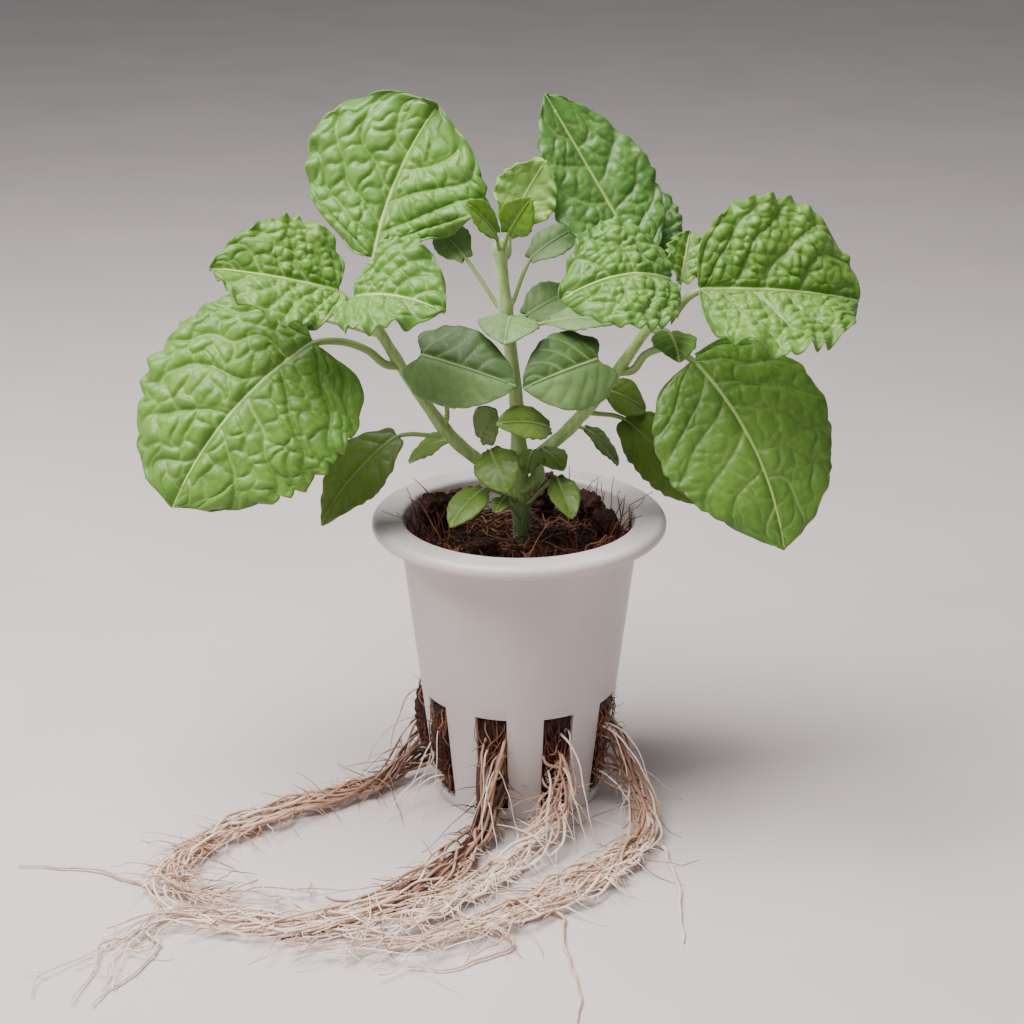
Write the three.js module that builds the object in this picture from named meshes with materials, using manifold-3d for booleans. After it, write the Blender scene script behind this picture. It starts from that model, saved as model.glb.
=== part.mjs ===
// A young basil plant in a slotted net pot: pot, coir plug, stems, leaves and the roots that trail out of
// the slots. Millimetres, +Z up. The origin is the centre of the pot's base; -Y is the front of the plant.
import * as THREE from 'three';
import { mergeVertices } from 'three/addons/utils/BufferGeometryUtils.js';
import Module from 'manifold-3d';

const wasm = await Module();
wasm.setup();

// ---------------------------------------------------------------- driving dimensions

const GAP = 0.3;                     // clearance between pieces that touch
const UP = new THREE.Vector3(0, 0, 1);

const pot = {
  height: 61,
  lipRadius: 30,
  mouthRadius: 23.5,
  shoulderRadius: 24.4,              // outside of the wall just under the lip
  baseRadius: 17.7,
  lipDepth: 2.8,
  floor: 1.6,
  wall: 1,
  slotCount: 9,
  slotAngle: 18.5,                   // degrees of the wall that one slot takes
  firstSlot: 21.8,                   // degrees from the front, towards +X
  slotTop: 24,
  slotBottom: 2.4,
  baseSlotInner: 7,
  baseSlotOuter: 13,
  baseSlotWidth: 2.6,
  sides: 72,
  footChamfer: 0.4,
  lipRollUnder: 0.2,                 // how far the lip's underside dips
  lipEdge: [1.4, 0.5],               // steps in from the rim that round its lower edge
  lipLowerEdge: [0.1, 1],            // and their heights over the lip's underside
  lipUpperEdge: [0.8, 0.2],          // depths under the top of the rounded upper edge
  lipInset: [0.6, 1.6],              // and how far in they lie
  mouthChamfer: [0.6, 0.5],
};

const plug = {
  bottom: pot.floor + GAP,
  shoulder: 53.5,                    // height of the coir at the pot wall
  crown: 55,                         // height of the coir at the stem
  lump: 0.6,
  wallGap: GAP + 0.2,
  footChamfer: [1.4, 1.5],           // across and up
  shoulderChamfer: [1.6, 3],
  dish: [[15, 0.4], [8, 1], [0, 1.2]], // radius, and depth under the crown there
  lumpsX: 0.55,                      // radians of unevenness each millimetre
  lumpsY: 0.47,
  lumpsAcross: 0.3,
  sides: 36,
};

const tuft = {
  levels: [0, 0.25, 0.5, 0.75, 1],
  turns: [30, 70, 110, 150],         // degrees round its outer side
  backGap: 0.1,
  leastSwell: 0.35,
  leastReach: 0.6,
};

const LEAF_SIDES = 8;                // points round every section of a leaf and its stalk
const ROOT_SIDES = 7;
const STEM_SIDES = 8;

const finish = {
  pot: { color: '#e9e7e4', roughness: 0.42, metalness: 0 },
  coir: { color: '#4a2216', roughness: 0.95, metalness: 0 },
  chip: { color: '#6b3019', roughness: 0.9, metalness: 0 },
  stem: { color: '#8fae5c', roughness: 0.5, metalness: 0 },
  shootLeaf: { color: '#6f9f3c', roughness: 0.45, metalness: 0 },
  youngLeaf: { color: '#8fbb4a', roughness: 0.45, metalness: 0 },
  lowLeaf: { color: '#4f742c', roughness: 0.5, metalness: 0 },
  root: { color: '#cfae93', roughness: 0.7, metalness: 0 },
};

// ---------------------------------------------------------------- small helpers

const vec = ([x, y, z]) => new THREE.Vector3(x, y, z);
const radians = THREE.MathUtils.degToRad;

// The unit vector that looks so many degrees from the front (towards +X) and so many above the horizon.
const facing = ([around, above]) => new THREE.Vector3(
  Math.sin(radians(around)) * Math.cos(radians(above)),
  -Math.cos(radians(around)) * Math.cos(radians(above)),
  Math.sin(radians(above)),
);

const square = (direction, along) => direction.clone()
  .addScaledVector(along, -direction.dot(along))
  .normalize();

const plant = new THREE.Group();

function add(name, geometry, look) {
  const mesh = new THREE.Mesh(geometry, new THREE.MeshStandardMaterial(look));
  mesh.name = name;
  plant.add(mesh);
}

function bare(geometry) {
  const copy = geometry.clone();
  for (const unused of ['normal', 'uv']) {
    copy.deleteAttribute(unused);
  }
  return mergeVertices(copy, 1e-4);
}

function toSolid(geometry) {
  const merged = bare(geometry);
  return new wasm.Manifold(new wasm.Mesh({
    numProp: 3,
    vertProperties: new Float32Array(merged.attributes.position.array),
    triVerts: new Uint32Array(merged.index.array),
  }));
}

function fromSolid(solid) {
  const mesh = solid.getMesh();
  const geometry = new THREE.BufferGeometry();
  geometry.setAttribute('position', new THREE.BufferAttribute(mesh.vertProperties, 3));
  geometry.setIndex(new THREE.BufferAttribute(mesh.triVerts, 1));
  return geometry;
}

// Joins rings of equal length into one closed skin, each end closed by a fan round its centre.
function loft(rings) {
  const count = rings[0].length;
  const points = rings.flat();
  const faces = [];
  for (let row = 0; row + 1 < rings.length; row += 1) {
    for (let i = 0; i < count; i += 1) {
      const next = (i + 1) % count;
      const [a, b] = [row * count + i, row * count + next];
      const [c, d] = [a + count, b + count];
      faces.push(a, b, d, a, d, c);
    }
  }
  for (const [row, turned] of [[0, true], [rings.length - 1, false]]) {
    const centre = new THREE.Vector3();
    rings[row].forEach((point) => centre.addScaledVector(point, 1 / count));
    points.push(centre);
    const hub = points.length - 1;
    for (let i = 0; i < count; i += 1) {
      const [a, b] = [row * count + i, row * count + ((i + 1) % count)];
      faces.push(...(turned ? [hub, b, a] : [hub, a, b]));
    }
  }
  return pointedOutwards(points, faces);
}

function pointedOutwards(points, faces) {
  let volume = 0;
  for (let i = 0; i < faces.length; i += 3) {
    const [a, b, c] = [points[faces[i]], points[faces[i + 1]], points[faces[i + 2]]];
    volume += a.dot(new THREE.Vector3().crossVectors(b, c));
  }
  const order = volume < 0 ? faces.slice().reverse() : faces;
  const geometry = new THREE.BufferGeometry().setFromPoints(points);
  geometry.setIndex(order);
  return geometry;
}

// ---------------------------------------------------------------- pot

// A wedge of the slot's angle, from radius inner to outer, between two heights.
function wedge(inner, outer, bottom, top, angle, around) {
  const half = radians(angle) / 2;
  const corners = [[inner, -half], [outer, -half], [outer, half], [inner, half]];
  const outline = new THREE.Shape(corners.map(([radius, turn]) => new THREE.Vector2(
    radius * Math.sin(turn),
    -radius * Math.cos(turn),
  )));
  const solid = new THREE.ExtrudeGeometry(outline, { depth: top - bottom, bevelEnabled: false });
  solid.translate(0, 0, bottom);
  solid.rotateZ(radians(around));
  return solid;
}

function potShell() {
  const lipBottom = pot.height - pot.lipDepth;
  const outline = [
    [0, 0],
    [pot.baseRadius - pot.footChamfer, 0],
    [pot.baseRadius, pot.footChamfer],
    [pot.shoulderRadius, lipBottom],
    [pot.lipRadius - pot.lipEdge[0], lipBottom - pot.lipRollUnder],
    [pot.lipRadius - pot.lipEdge[1], lipBottom + pot.lipLowerEdge[0]],
    [pot.lipRadius, lipBottom + pot.lipLowerEdge[1]],
    [pot.lipRadius, pot.height - pot.lipUpperEdge[0]],
    [pot.lipRadius - pot.lipInset[0], pot.height - pot.lipUpperEdge[1]],
    [pot.lipRadius - pot.lipInset[1], pot.height],
    [pot.mouthRadius + pot.mouthChamfer[0], pot.height],
    [pot.mouthRadius, pot.height - pot.mouthChamfer[1]],
    [pot.baseRadius - pot.wall, pot.floor],
    [0, pot.floor],
  ].map(([radius, height]) => new THREE.Vector2(radius, height));
  return new THREE.LatheGeometry(outline, pot.sides).rotateX(Math.PI / 2);
}

function netPot() {
  let solid = toSolid(potShell());
  const length = pot.baseSlotOuter - pot.baseSlotInner;
  const inside = pot.baseRadius - 4 * pot.wall;
  for (let i = 0; i < pot.slotCount; i += 1) {
    const around = pot.firstSlot + (360 / pot.slotCount) * i;
    const side = wedge(inside, pot.lipRadius, pot.slotBottom, pot.slotTop, pot.slotAngle, around);
    const under = new THREE.BoxGeometry(pot.baseSlotWidth, length, 3 * pot.floor);
    under.translate(0, -(pot.baseSlotInner + pot.baseSlotOuter) / 2, 0);
    under.rotateZ(radians(around));
    solid = solid.subtract(toSolid(side)).subtract(toSolid(under));
  }
  return fromSolid(solid);
}

// ---------------------------------------------------------------- coir

const innerRadius = (height) => THREE.MathUtils.lerp(
  pot.baseRadius - pot.wall,
  pot.mouthRadius,
  (height - pot.floor) / (pot.height - pot.mouthChamfer[1] - pot.floor),
);

function unevenness(x, y) {
  const small = Math.sin(plug.lumpsX * x + 1) * Math.cos(plug.lumpsY * y);
  const broad = Math.sin(plug.lumpsAcross * (x - y));
  return plug.lump * (small + broad);
}

function coirPlug() {
  const foot = plug.bottom + plug.footChamfer[1];
  const neck = plug.shoulder - plug.shoulderChamfer[1];
  const outline = [
    [0, plug.bottom],
    [innerRadius(plug.bottom) - plug.footChamfer[0], plug.bottom],
    [innerRadius(foot) - plug.wallGap, foot],
    [innerRadius(neck) - plug.wallGap, neck],
    [innerRadius(plug.shoulder) - plug.shoulderChamfer[0], plug.shoulder],
    ...plug.dish.map(([radius, depth]) => [radius, plug.crown - depth]),
  ].map(([radius, height]) => new THREE.Vector2(radius, height));
  const body = bare(new THREE.LatheGeometry(outline, plug.sides).rotateX(Math.PI / 2));
  const place = body.attributes.position;
  for (let i = 0; i < place.count; i += 1) {
    if (place.getZ(i) > plug.shoulder - 1) {
      place.setZ(i, place.getZ(i) + unevenness(place.getX(i), place.getY(i)));
    }
  }
  return body;
}

// A squared block of husk with its edges knocked off, standing on the plug.
function huskChip({ at: [x, y], size: [length, width, height], turn, lean }) {
  const shape = new THREE.Shape([
    [-0.5, -0.35], [-0.3, -0.5], [0.38, -0.5], [0.5, -0.28], [0.44, 0.4], [0.2, 0.5], [-0.42, 0.46],
  ].map(([across, along]) => new THREE.Vector2(across * length, along * width)));
  const block = new THREE.ExtrudeGeometry(shape, { depth: height, bevelEnabled: false });
  block.rotateY(radians(lean));
  block.rotateZ(radians(turn));
  block.computeBoundingBox();
  const rest = plug.crown + 2 * plug.lump + GAP;
  block.translate(x, y, rest - block.boundingBox.min.z);
  return block;
}

const chips = [
  { name: 'husk_chip_left', at: [-17, 7], size: [6, 5, 5], turn: 20, lean: 8 },
  { name: 'husk_chip_back_left', at: [-10.5, 13], size: [6.5, 4, 4], turn: -25, lean: -10 },
  { name: 'husk_chip_tall', at: [5, 14.5], size: [4, 4.5, 7], turn: 35, lean: 12 },
  { name: 'husk_chip_back_right', at: [14, 11], size: [7, 5, 3.6], turn: -40, lean: 6 },
  { name: 'husk_chip_right', at: [18, 1.5], size: [4.5, 6, 3], turn: 10, lean: -9 },
  { name: 'husk_chip_front', at: [-8, -12], size: [6.5, 4, 2.4], turn: 28, lean: 5 },
];

// Coir that has pushed out through a side slot.
function coirTuft({ around, reach, bottom, top, width }) {
  const rings = tuft.levels.map((level) => {
    const height = THREE.MathUtils.lerp(bottom, top, level);
    const bulge = Math.sin(Math.PI * THREE.MathUtils.lerp(0.1, 0.9, level));
    const swell = THREE.MathUtils.lerp(tuft.leastSwell, 1, bulge);
    const inside = innerRadius(height) + tuft.backGap;
    const half = (width / 2) * THREE.MathUtils.lerp(0.6, 1, swell);
    const ring = [[-half, inside], [half, inside]];
    for (const turn of tuft.turns) {
      const across = half * Math.cos(radians(turn));
      const outwards = (reach * swell + tuft.leastReach) * Math.sin(radians(turn));
      ring.push([across, inside + outwards]);
    }
    return ring.map(([across, radius]) => new THREE.Vector3(across, -radius, height)
      .applyAxisAngle(UP, radians(around)));
  });
  return loft(rings);
}

const tufts = [
  { name: 'coir_tuft_left', around: -98.2, reach: 3.4, bottom: 6, top: 21, width: 4.6 },
  { name: 'coir_tuft_front_left', around: -58.2, reach: 2.6, bottom: 8, top: 20, width: 4.6 },
];

// ---------------------------------------------------------------- stems

const STEM_SQUARENESS = 0.12;        // how far the four edges stand out, as a share of the radius
const BRANCH_COLLAR = 1.3;           // room a branch takes beside its parent, as a share of its radius

const curveThrough = (points) => new THREE.CatmullRomCurve3(points, false, 'centripetal');

// A stem or root: a tapering tube of regular sections along a curve. flutes > 0 squares the section.
function taperedTube(curve, radiusAt, sides, steps, flutes = 0) {
  const rings = [];
  const start = curve.getTangentAt(0);
  let lead = square(Math.abs(start.z) > 0.9 ? new THREE.Vector3(1, 0, 0) : UP, start);
  for (let step = 0; step <= steps; step += 1) {
    const share = step / steps;
    const along = curve.getTangentAt(share);
    lead = square(lead, along);
    const across = new THREE.Vector3().crossVectors(along, lead);
    const centre = curve.getPointAt(share);
    const ring = [];
    for (let i = 0; i < sides; i += 1) {
      const turn = (2 * Math.PI * i) / sides;
      const radius = radiusAt(share) * (1 + flutes * (i % 2));
      ring.push(centre.clone()
        .addScaledVector(lead, radius * Math.cos(turn))
        .addScaledVector(across, radius * Math.sin(turn)));
    }
    rings.push(ring);
  }
  return loft(rings);
}

// The point on a stem's surface, towards a place, where something of the given radius can leave it.
function departure(stem, share, towards, radius) {
  const centre = stem.curve.getPointAt(share);
  const away = square(towards.clone().sub(centre), stem.curve.getTangentAt(share));
  const stemRadius = THREE.MathUtils.lerp(stem.radii[0], stem.radii[1], share);
  return centre.addScaledVector(away, stemRadius * (1 + stem.squareness) + radius + GAP);
}

function growStem(name, points, radii, steps, parent = null, share = 0) {
  const route = points.map(vec);
  if (parent) {
    route.unshift(departure(parent, share, route[0], radii[0] * BRANCH_COLLAR));
  }
  const stem = { curve: curveThrough(route), radii, squareness: STEM_SQUARENESS };
  const radiusAt = (where) => THREE.MathUtils.lerp(radii[0], radii[1], where);
  add(name, taperedTube(stem.curve, radiusAt, STEM_SIDES, steps, stem.squareness), finish.stem);
  return stem;
}

// ---------------------------------------------------------------- leaves

// Half-width of a blade as a share of its widest, from 0 at the base to 1 at the tip. Basil leaves are
// ovate: widest says where along the blade, broad fills out the base and pointed draws out the tip.
function bladeShare(share, { widest, broad, pointed }) {
  const place = 2 * share ** (Math.log(0.5) / Math.log(widest)) - 1;
  const fullness = place < 0 ? 1.6 + broad : 2.1 - 0.7 * pointed;
  const rounding = place < 0 ? 0.85 - 0.4 * broad : 0.62 + 0.3 * pointed;
  return (1 - Math.abs(place) ** fullness) ** rounding;
}

const BLADE_STATIONS = [0, 0.05, 0.16, 0.32, 0.5, 0.68, 0.84, 0.95, 1];
const STALK_STATIONS = [0, 0.3, 0.65];
const LOBE_REACH = 0.5;              // share of the blade over which its basal lobes fade out
const RIB_TOP = 0.22;                // height of the blade over its midline, at the midrib
const RIB_KEEL = 0.45;               // depth of the rib under it
const SKIN = 0.2;                    // half thickness halfway out
const TIP_THINNING = 0.6;
const TIP_HALF_WIDTH = 0.5;
const STALK_GROOVE = 0.6;            // the groove's radius as a share of the stalk's

// One leaf with its stalk, as a single skin. Sections are read clockwise from the groove on the upper side.
// base and tip are the blade's ends, face the way its upper side looks, width across both halves. arch lifts
// the midline, sway bends it sideways, fold lifts both halves (degrees), cup curls the margins and lobe
// sweeps the two sides of the base back towards the stalk.
function leafSkin(shape) {
  const { start, via, base, tip, face, width, arch, sway, fold, cup, twist, lobe, stalk } = shape;
  const [from, to] = [vec(base), vec(tip)];
  const chord = to.clone().sub(from);
  const direction = chord.clone().normalize();
  const upper = square(facing(face), direction);
  const aside = new THREE.Vector3().crossVectors(direction, upper);
  const middle = from.clone().add(to).multiplyScalar(0.5)
    .addScaledVector(upper, 2 * arch)
    .addScaledVector(aside, 2 * sway);
  const midline = new THREE.QuadraticBezierCurve3(from, middle, to);
  const route = [start, ...(via ? [vec(via)] : []), from, midline.getPoint(0.12)];
  const stalkCurve = curveThrough(route);
  const stalkEnd = shareNearest(stalkCurve, from);
  const slope = Math.tan(radians(fold));

  const bladeRings = BLADE_STATIONS.map((share) => {
    const along = midline.getTangent(share);
    const lifted = square(upper, along).applyAxisAngle(along, radians(twist) * share);
    const outwards = new THREE.Vector3().crossVectors(along, lifted);
    const least = share < 0.5 ? stalk * 1.25 : TIP_HALF_WIDTH;
    const half = Math.max((width / 2) * bladeShare(share, shape), least);
    const thin = share === 1 ? TIP_THINNING : 1;
    const swept = lobe * Math.max(0, 1 - share / LOBE_REACH) ** 2;
    const section = [
      [0, RIB_TOP * thin], [0.5, SKIN * thin], [1, 0], [0.5, -SKIN * thin],
      [0, -RIB_KEEL * thin], [-0.5, -SKIN * thin], [-1, 0], [-0.5, SKIN * thin],
    ];
    return section.map(([across, height]) => {
      const size = Math.abs(across);
      const reach = (size * half) / (width / 2);
      const rise = size * half * slope + reach * size * cup + height;
      return midline.getPoint(share)
        .addScaledVector(outwards, across * half)
        .addScaledVector(along, -swept * reach * reach)
        .addScaledVector(lifted, rise);
    });
  });

  const stalkRings = [];
  let lifted = square(upper, stalkCurve.getTangentAt(stalkEnd));
  for (const station of STALK_STATIONS.slice().reverse()) {
    const share = station * stalkEnd;
    const along = stalkCurve.getTangentAt(share);
    lifted = square(lifted, along);
    const outwards = new THREE.Vector3().crossVectors(along, lifted);
    const ring = [];
    for (let i = 0; i < LEAF_SIDES; i += 1) {
      const turn = (2 * Math.PI * i) / LEAF_SIDES;
      const radius = stalk * (i === 0 ? STALK_GROOVE : 1);
      ring.push(stalkCurve.getPointAt(share)
        .addScaledVector(lifted, radius * Math.cos(turn))
        .addScaledVector(outwards, radius * Math.sin(turn)));
    }
    stalkRings.unshift(ring);
  }
  return loft([...stalkRings, ...bladeRings]);
}

function shareNearest(curve, point) {
  let best = 0;
  for (let share = 0; share <= 1; share += 0.005) {
    if (curve.getPointAt(share).distanceTo(point) < curve.getPointAt(best).distanceTo(point)) {
      best = share;
    }
  }
  return best;
}

function growLeaves(stem, look, leaves) {
  const plain = {
    arch: 0,
    sway: 0,
    fold: 0,
    cup: 0,
    twist: 0,
    lobe: 0,
    widest: 0.44,
    broad: 0.5,
    pointed: 0.5,
    stalk: 0.65,
  };
  for (const { name, at, ...shape } of leaves) {
    const leaf = { ...plain, ...shape };
    const start = departure(stem, at, vec(leaf.via ?? leaf.base), leaf.stalk);
    add(name, leafSkin({ ...leaf, start }), look);
  }
}

// ---------------------------------------------------------------- roots

function growRoot(name, points, radii, steps) {
  const curve = curveThrough(points.map(vec));
  const radiusAt = (share) => THREE.MathUtils.lerp(radii[0], radii[1], share ** 1.5);
  add(name, taperedTube(curve, radiusAt, ROOT_SIDES, steps), finish.root);
}

// ---------------------------------------------------------------- the plant

add('net_pot', netPot(), finish.pot);
add('coir_plug', coirPlug(), finish.coir);
chips.forEach((chip) => add(chip.name, huskChip(chip), finish.chip));
tufts.forEach((clump) => add(clump.name, coirTuft(clump), finish.coir));

const mainStem = growStem('main_stem', [
  [0.5, 0, 56.5], [0.2, 0, 68], [-0.6, 0, 85], [-2, 0, 98], [-3, 0, 108], [-3.8, 1, 117],
], [1.55, 0.95], 14);
const leftBranch = growStem('left_branch', [
  [-4.6, -0.5, 70.2], [-9.3, -1, 73.8], [-13.9, -2, 78.6], [-21.7, -3, 90.5], [-27.7, -5, 101.5],
  [-31, -7, 107],
], [1.25, 0.85], 12, mainStem, 0.17);
const rightBranch = growStem('right_branch', [
  [3.4, 0, 72.4], [9.2, 0, 78.2], [13.5, -1, 83.5], [19.5, -2, 91.8], [24, -4, 99.5],
  [28, -7, 106],
], [1.25, 0.85], 12, mainStem, 0.2);

growLeaves(leftBranch, finish.shootLeaf, [
  {
    name: 'left_big_drooping_leaf', at: 0.72, via: [-31.5, -6, 98.5], base: [-40, -8, 100],
    tip: [-67.5, -20, 70.5], face: [-15, 25], width: 42, arch: 2.5, sway: 2.5, cup: -3, lobe: 4,
    widest: 0.42, broad: 1, pointed: 0.1, stalk: 0.8,
  },
  {
    name: 'left_upper_back_leaf', at: 0.93, base: [-28.5, 3, 114], tip: [-15.5, 15, 141.5],
    face: [-8, 30], width: 38, arch: -1.5, sway: -2.3, fold: 8, cup: -1.5, widest: 0.52, broad: 0.3,
    pointed: 0.1, stalk: 0.8,
  },
  {
    name: 'left_crinkled_outer_leaf', at: 0.99, base: [-35, -9.5, 110.5], tip: [-59, -13, 116],
    face: [-12, 48], width: 24, arch: 1, fold: 16, broad: 0.7, lobe: 2,
  },
  {
    name: 'left_crinkled_inner_leaf', at: 0.96, base: [-32, -12.5, 110], tip: [-14.5, -22, 109.5],
    face: [4, 52], width: 24, arch: 2.5, fold: 14, broad: 0.7, pointed: 0.45,
  },
  {
    name: 'left_shaded_back_leaf', at: 0.85, base: [-39, 4, 101.5], tip: [-57, 10, 103],
    face: [-40, 62], width: 18, arch: 1.5, pointed: 0.6,
  },
]);
growLeaves(leftBranch, finish.lowLeaf, [
  {
    name: 'left_low_outer_leaf', at: 0.36, base: [-24.5, -3, 79], tip: [-40, -7, 61.5],
    face: [-30, 38], width: 14, arch: 1.6, sway: 0.6, broad: 0.3, pointed: 0.75, stalk: 0.5,
  },
  {
    name: 'left_low_narrow_leaf', at: 0.28, base: [-14.5, 6, 75], tip: [-22.5, 11, 68.5],
    face: [-60, 55], width: 7.5, arch: 1, pointed: 0.6, stalk: 0.4,
  },
  {
    name: 'left_inner_facing_leaf', at: 0.4, via: [-15, -5, 88], base: [-19.5, -8, 97.2],
    tip: [-0.9, -15, 92.8], face: [2, 32], width: 16.5, arch: 1, fold: -6, cup: -1, lobe: 4,
    widest: 0.4, broad: 1, pointed: 0.4, stalk: 0.5,
  },
]);
growLeaves(rightBranch, finish.shootLeaf, [
  {
    name: 'right_big_outer_leaf', at: 0.99, base: [34, -10.5, 110.5], tip: [66, -5, 106.5],
    face: [-6, 42], width: 34, arch: 2, fold: 22, broad: 0.7, pointed: 0.45, stalk: 0.8,
  },
  {
    name: 'right_crinkled_inner_leaf', at: 0.95, base: [28.5, -13, 113], tip: [7, -19.5, 111],
    face: [-4, 46], width: 25, arch: 5, fold: 2, broad: 0.7, pointed: 0.35,
  },
  {
    name: 'right_tall_back_leaf', at: 0.88, base: [24, 4, 113], tip: [5.5, 16, 143.5], face: [14, 30],
    width: 23, arch: -1, sway: 0.5, fold: 6, pointed: 0.65, stalk: 0.8,
  },
  {
    name: 'right_small_back_leaf', at: 0.94, base: [27.5, 9, 112], tip: [28.5, 18, 123.5],
    face: [15, 35], width: 10, arch: 1, fold: 10, pointed: 0.4,
  },
  {
    name: 'right_big_drooping_leaf', at: 0.66, via: [27, -4, 97.2], base: [34, -5, 94.8],
    tip: [51.5, -19, 60], face: [12, 22], width: 36, arch: 3, sway: -2.5, cup: -2, lobe: 1.5,
    broad: 0.7, stalk: 0.8,
  },
  {
    name: 'right_under_leaf', at: 0.9, base: [28.5, -12, 102.5], tip: [29.5, -22, 99.5], face: [4, 50],
    width: 9, arch: 1, pointed: 0.4,
  },
]);
growLeaves(rightBranch, finish.youngLeaf, [
  {
    name: 'right_young_leaf', at: 1, base: [31, -7.5, 111.5], tip: [33, -2, 120], face: [10, 25],
    width: 9, fold: 24, pointed: 0.4, stalk: 0.5,
  },
]);
growLeaves(rightBranch, finish.lowLeaf, [
  {
    name: 'right_low_outer_leaf', at: 0.4, base: [21.5, 3.5, 80], tip: [38, 1, 62], face: [22, 35],
    width: 15, arch: 1.6, broad: 0.4, pointed: 0.7, stalk: 0.5,
  },
  {
    name: 'right_low_upper_leaf', at: 0.5, base: [17.5, 4, 86], tip: [26, 5, 81], face: [10, 50],
    width: 9, arch: 1, pointed: 0.6, stalk: 0.4,
  },
  {
    name: 'right_low_narrow_leaf', at: 0.3, base: [14, 7, 76.5], tip: [21, 9, 68], face: [62, 35],
    width: 6.5, arch: 1, pointed: 0.6, stalk: 0.4,
  },
  {
    name: 'right_inner_facing_leaf', at: 0.44, via: [12.5, -5.5, 89], base: [15.2, -8, 96],
    tip: [0.2, -15, 92.4], face: [4, 32], width: 16.5, arch: 1, fold: -6, cup: -1, lobe: 4,
    widest: 0.4, broad: 1, pointed: 0.4, stalk: 0.5,
  },
]);
growLeaves(mainStem, finish.youngLeaf, [
  {
    name: 'centre_top_leaf', at: 0.96, base: [-1.6, 3.2, 120.8], tip: [5.2, 4.5, 132.5],
    face: [10, 22], width: 13, arch: -1, fold: 6, pointed: 0.3, stalk: 0.5,
  },
  {
    name: 'centre_bright_left_leaf', at: 0.99, base: [-4.6, -2, 119.5], tip: [-10.5, -5.5, 126.5],
    face: [-10, 55], width: 8, arch: 0.6, fold: 6, stalk: 0.4,
  },
  {
    name: 'centre_bright_right_leaf', at: 0.985, base: [-2.2, -3, 120], tip: [2, -6.5, 127.5],
    face: [12, 40], width: 8, arch: 0.6, fold: 6, stalk: 0.4,
  },
]);
growLeaves(mainStem, finish.lowLeaf, [
  {
    name: 'centre_left_stalked_leaf', at: 0.79, base: [-10.5, 6, 113], tip: [-16, 14, 117.5],
    face: [-20, 45], width: 8, arch: 1, stalk: 0.45,
  },
  {
    name: 'centre_right_stalked_leaf', at: 0.8, base: [2.4, 5, 113], tip: [14, 11, 118.5],
    face: [10, 62], width: 8, arch: 1, stalk: 0.45,
  },
  {
    name: 'centre_front_leaf', at: 0.72, base: [-1.8, -3.6, 103.6], tip: [-3.2, -12.5, 100.5],
    face: [-2, 60], width: 12.5, arch: 1, broad: 0.8, pointed: 0.4, stalk: 0.4,
  },
  {
    name: 'centre_back_leaf', at: 0.74, base: [1.5, 3, 101.8], tip: [12, 9, 105.5], face: [8, 50],
    width: 9.5, arch: 1, stalk: 0.4,
  },
  {
    name: 'centre_side_leaf', at: 0.71, base: [6, -2.5, 102.2], tip: [18.5, -5, 102.4], face: [4, 66],
    width: 8, arch: 1, pointed: 0.6, stalk: 0.4,
  },
]);
growLeaves(mainStem, finish.lowLeaf, [
  {
    name: 'left_axil_upright_leaf', at: 0.42, base: [-8, -6.5, 79.4], tip: [-5, -11.5, 87],
    face: [-10, 40], width: 8.5, arch: 0.6, pointed: 0.2, stalk: 0.4,
  },
  {
    name: 'left_axil_drooping_leaf', at: 0.3, base: [-6, -11, 78.5], tip: [-2.8, -19, 72.5],
    face: [-12, 35], width: 9.5, arch: 1.2, pointed: 0.3, stalk: 0.4,
  },
  {
    name: 'right_axil_leaf', at: 0.4, base: [5.5, -12, 83.5], tip: [-5, -17.5, 86], face: [2, 50],
    width: 8.5, arch: 1.2, pointed: 0.3, stalk: 0.4,
  },
  {
    name: 'base_leaf_left', at: 0.22, base: [2.5, -5.5, 76.5], tip: [1, -12.5, 74], face: [-8, 45],
    width: 6, arch: 0.8, pointed: 0.3, stalk: 0.35,
  },
  {
    name: 'base_leaf_right', at: 0.28, base: [4.6, -5, 76.5], tip: [8.6, -9.5, 73.6], face: [14, 50],
    width: 6.5, arch: 0.8, pointed: 0.3, stalk: 0.35,
  },
  {
    name: 'base_leaf_drooping_left', at: 0.14, base: [-7.5, -12.5, 71], tip: [-14, -20.5, 66],
    face: [-18, 55], width: 7.5, arch: 1, pointed: 0.4, stalk: 0.4,
  },
  {
    name: 'base_leaf_drooping_right', at: 0.12, base: [7.2, -8.5, 71.8], tip: [10, -16.5, 66],
    face: [5, 30], width: 6.5, arch: 1, pointed: 0.3, stalk: 0.4,
  },
  {
    name: 'base_leaf_curled', at: 0.08, base: [-3.2, -14, 69.8], tip: [-5.2, -18, 68], face: [-10, 50],
    width: 4.5, arch: 0.5, pointed: 0.3, stalk: 0.35,
  },
]);

growRoot('root_bundle_left', [
  [-19.2, 2.7, 4.2], [-24, -0.2, 2.5], [-34, -6, 2], [-48, -14.5, 2], [-60, -24, 2],
  [-67.5, -34, 2], [-69, -43, 1.8], [-62, -49.5, 1.6], [-50, -51.5, 1.5], [-38, -52, 1.4],
], [1.5, 0.9], 26);
growRoot('root_bundle_front_left', [
  [-5.8, -19, 20], [-7, -22, 10], [-9, -28, 3], [-15, -39, 2.1], [-24, -50, 2], [-34, -57, 2],
  [-50, -58.5, 1.9], [-66, -57, 1.6], [-76, -65, 1.3], [-88, -83, 0.9],
], [1.7, 0.5], 30);
growRoot('root_bundle_front_right', [
  [7.4, -19.5, 20], [8.2, -22, 9], [4, -30, 3], [-6, -43, 2], [-18, -55, 2], [-32, -62, 1.9],
  [-50, -64, 1.6],
], [1.5, 0.8], 24);
growRoot('root_bundle_right', [
  [17.5, -9.5, 20], [22, -12, 10], [25, -20, 4], [24.5, -30, 2.1], [15, -42, 2], [2, -54, 2],
  [-14, -64.5, 1.9], [-30, -68.5, 1.7], [-46, -69.5, 1.4],
], [1.5, 0.7], 28);
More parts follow.
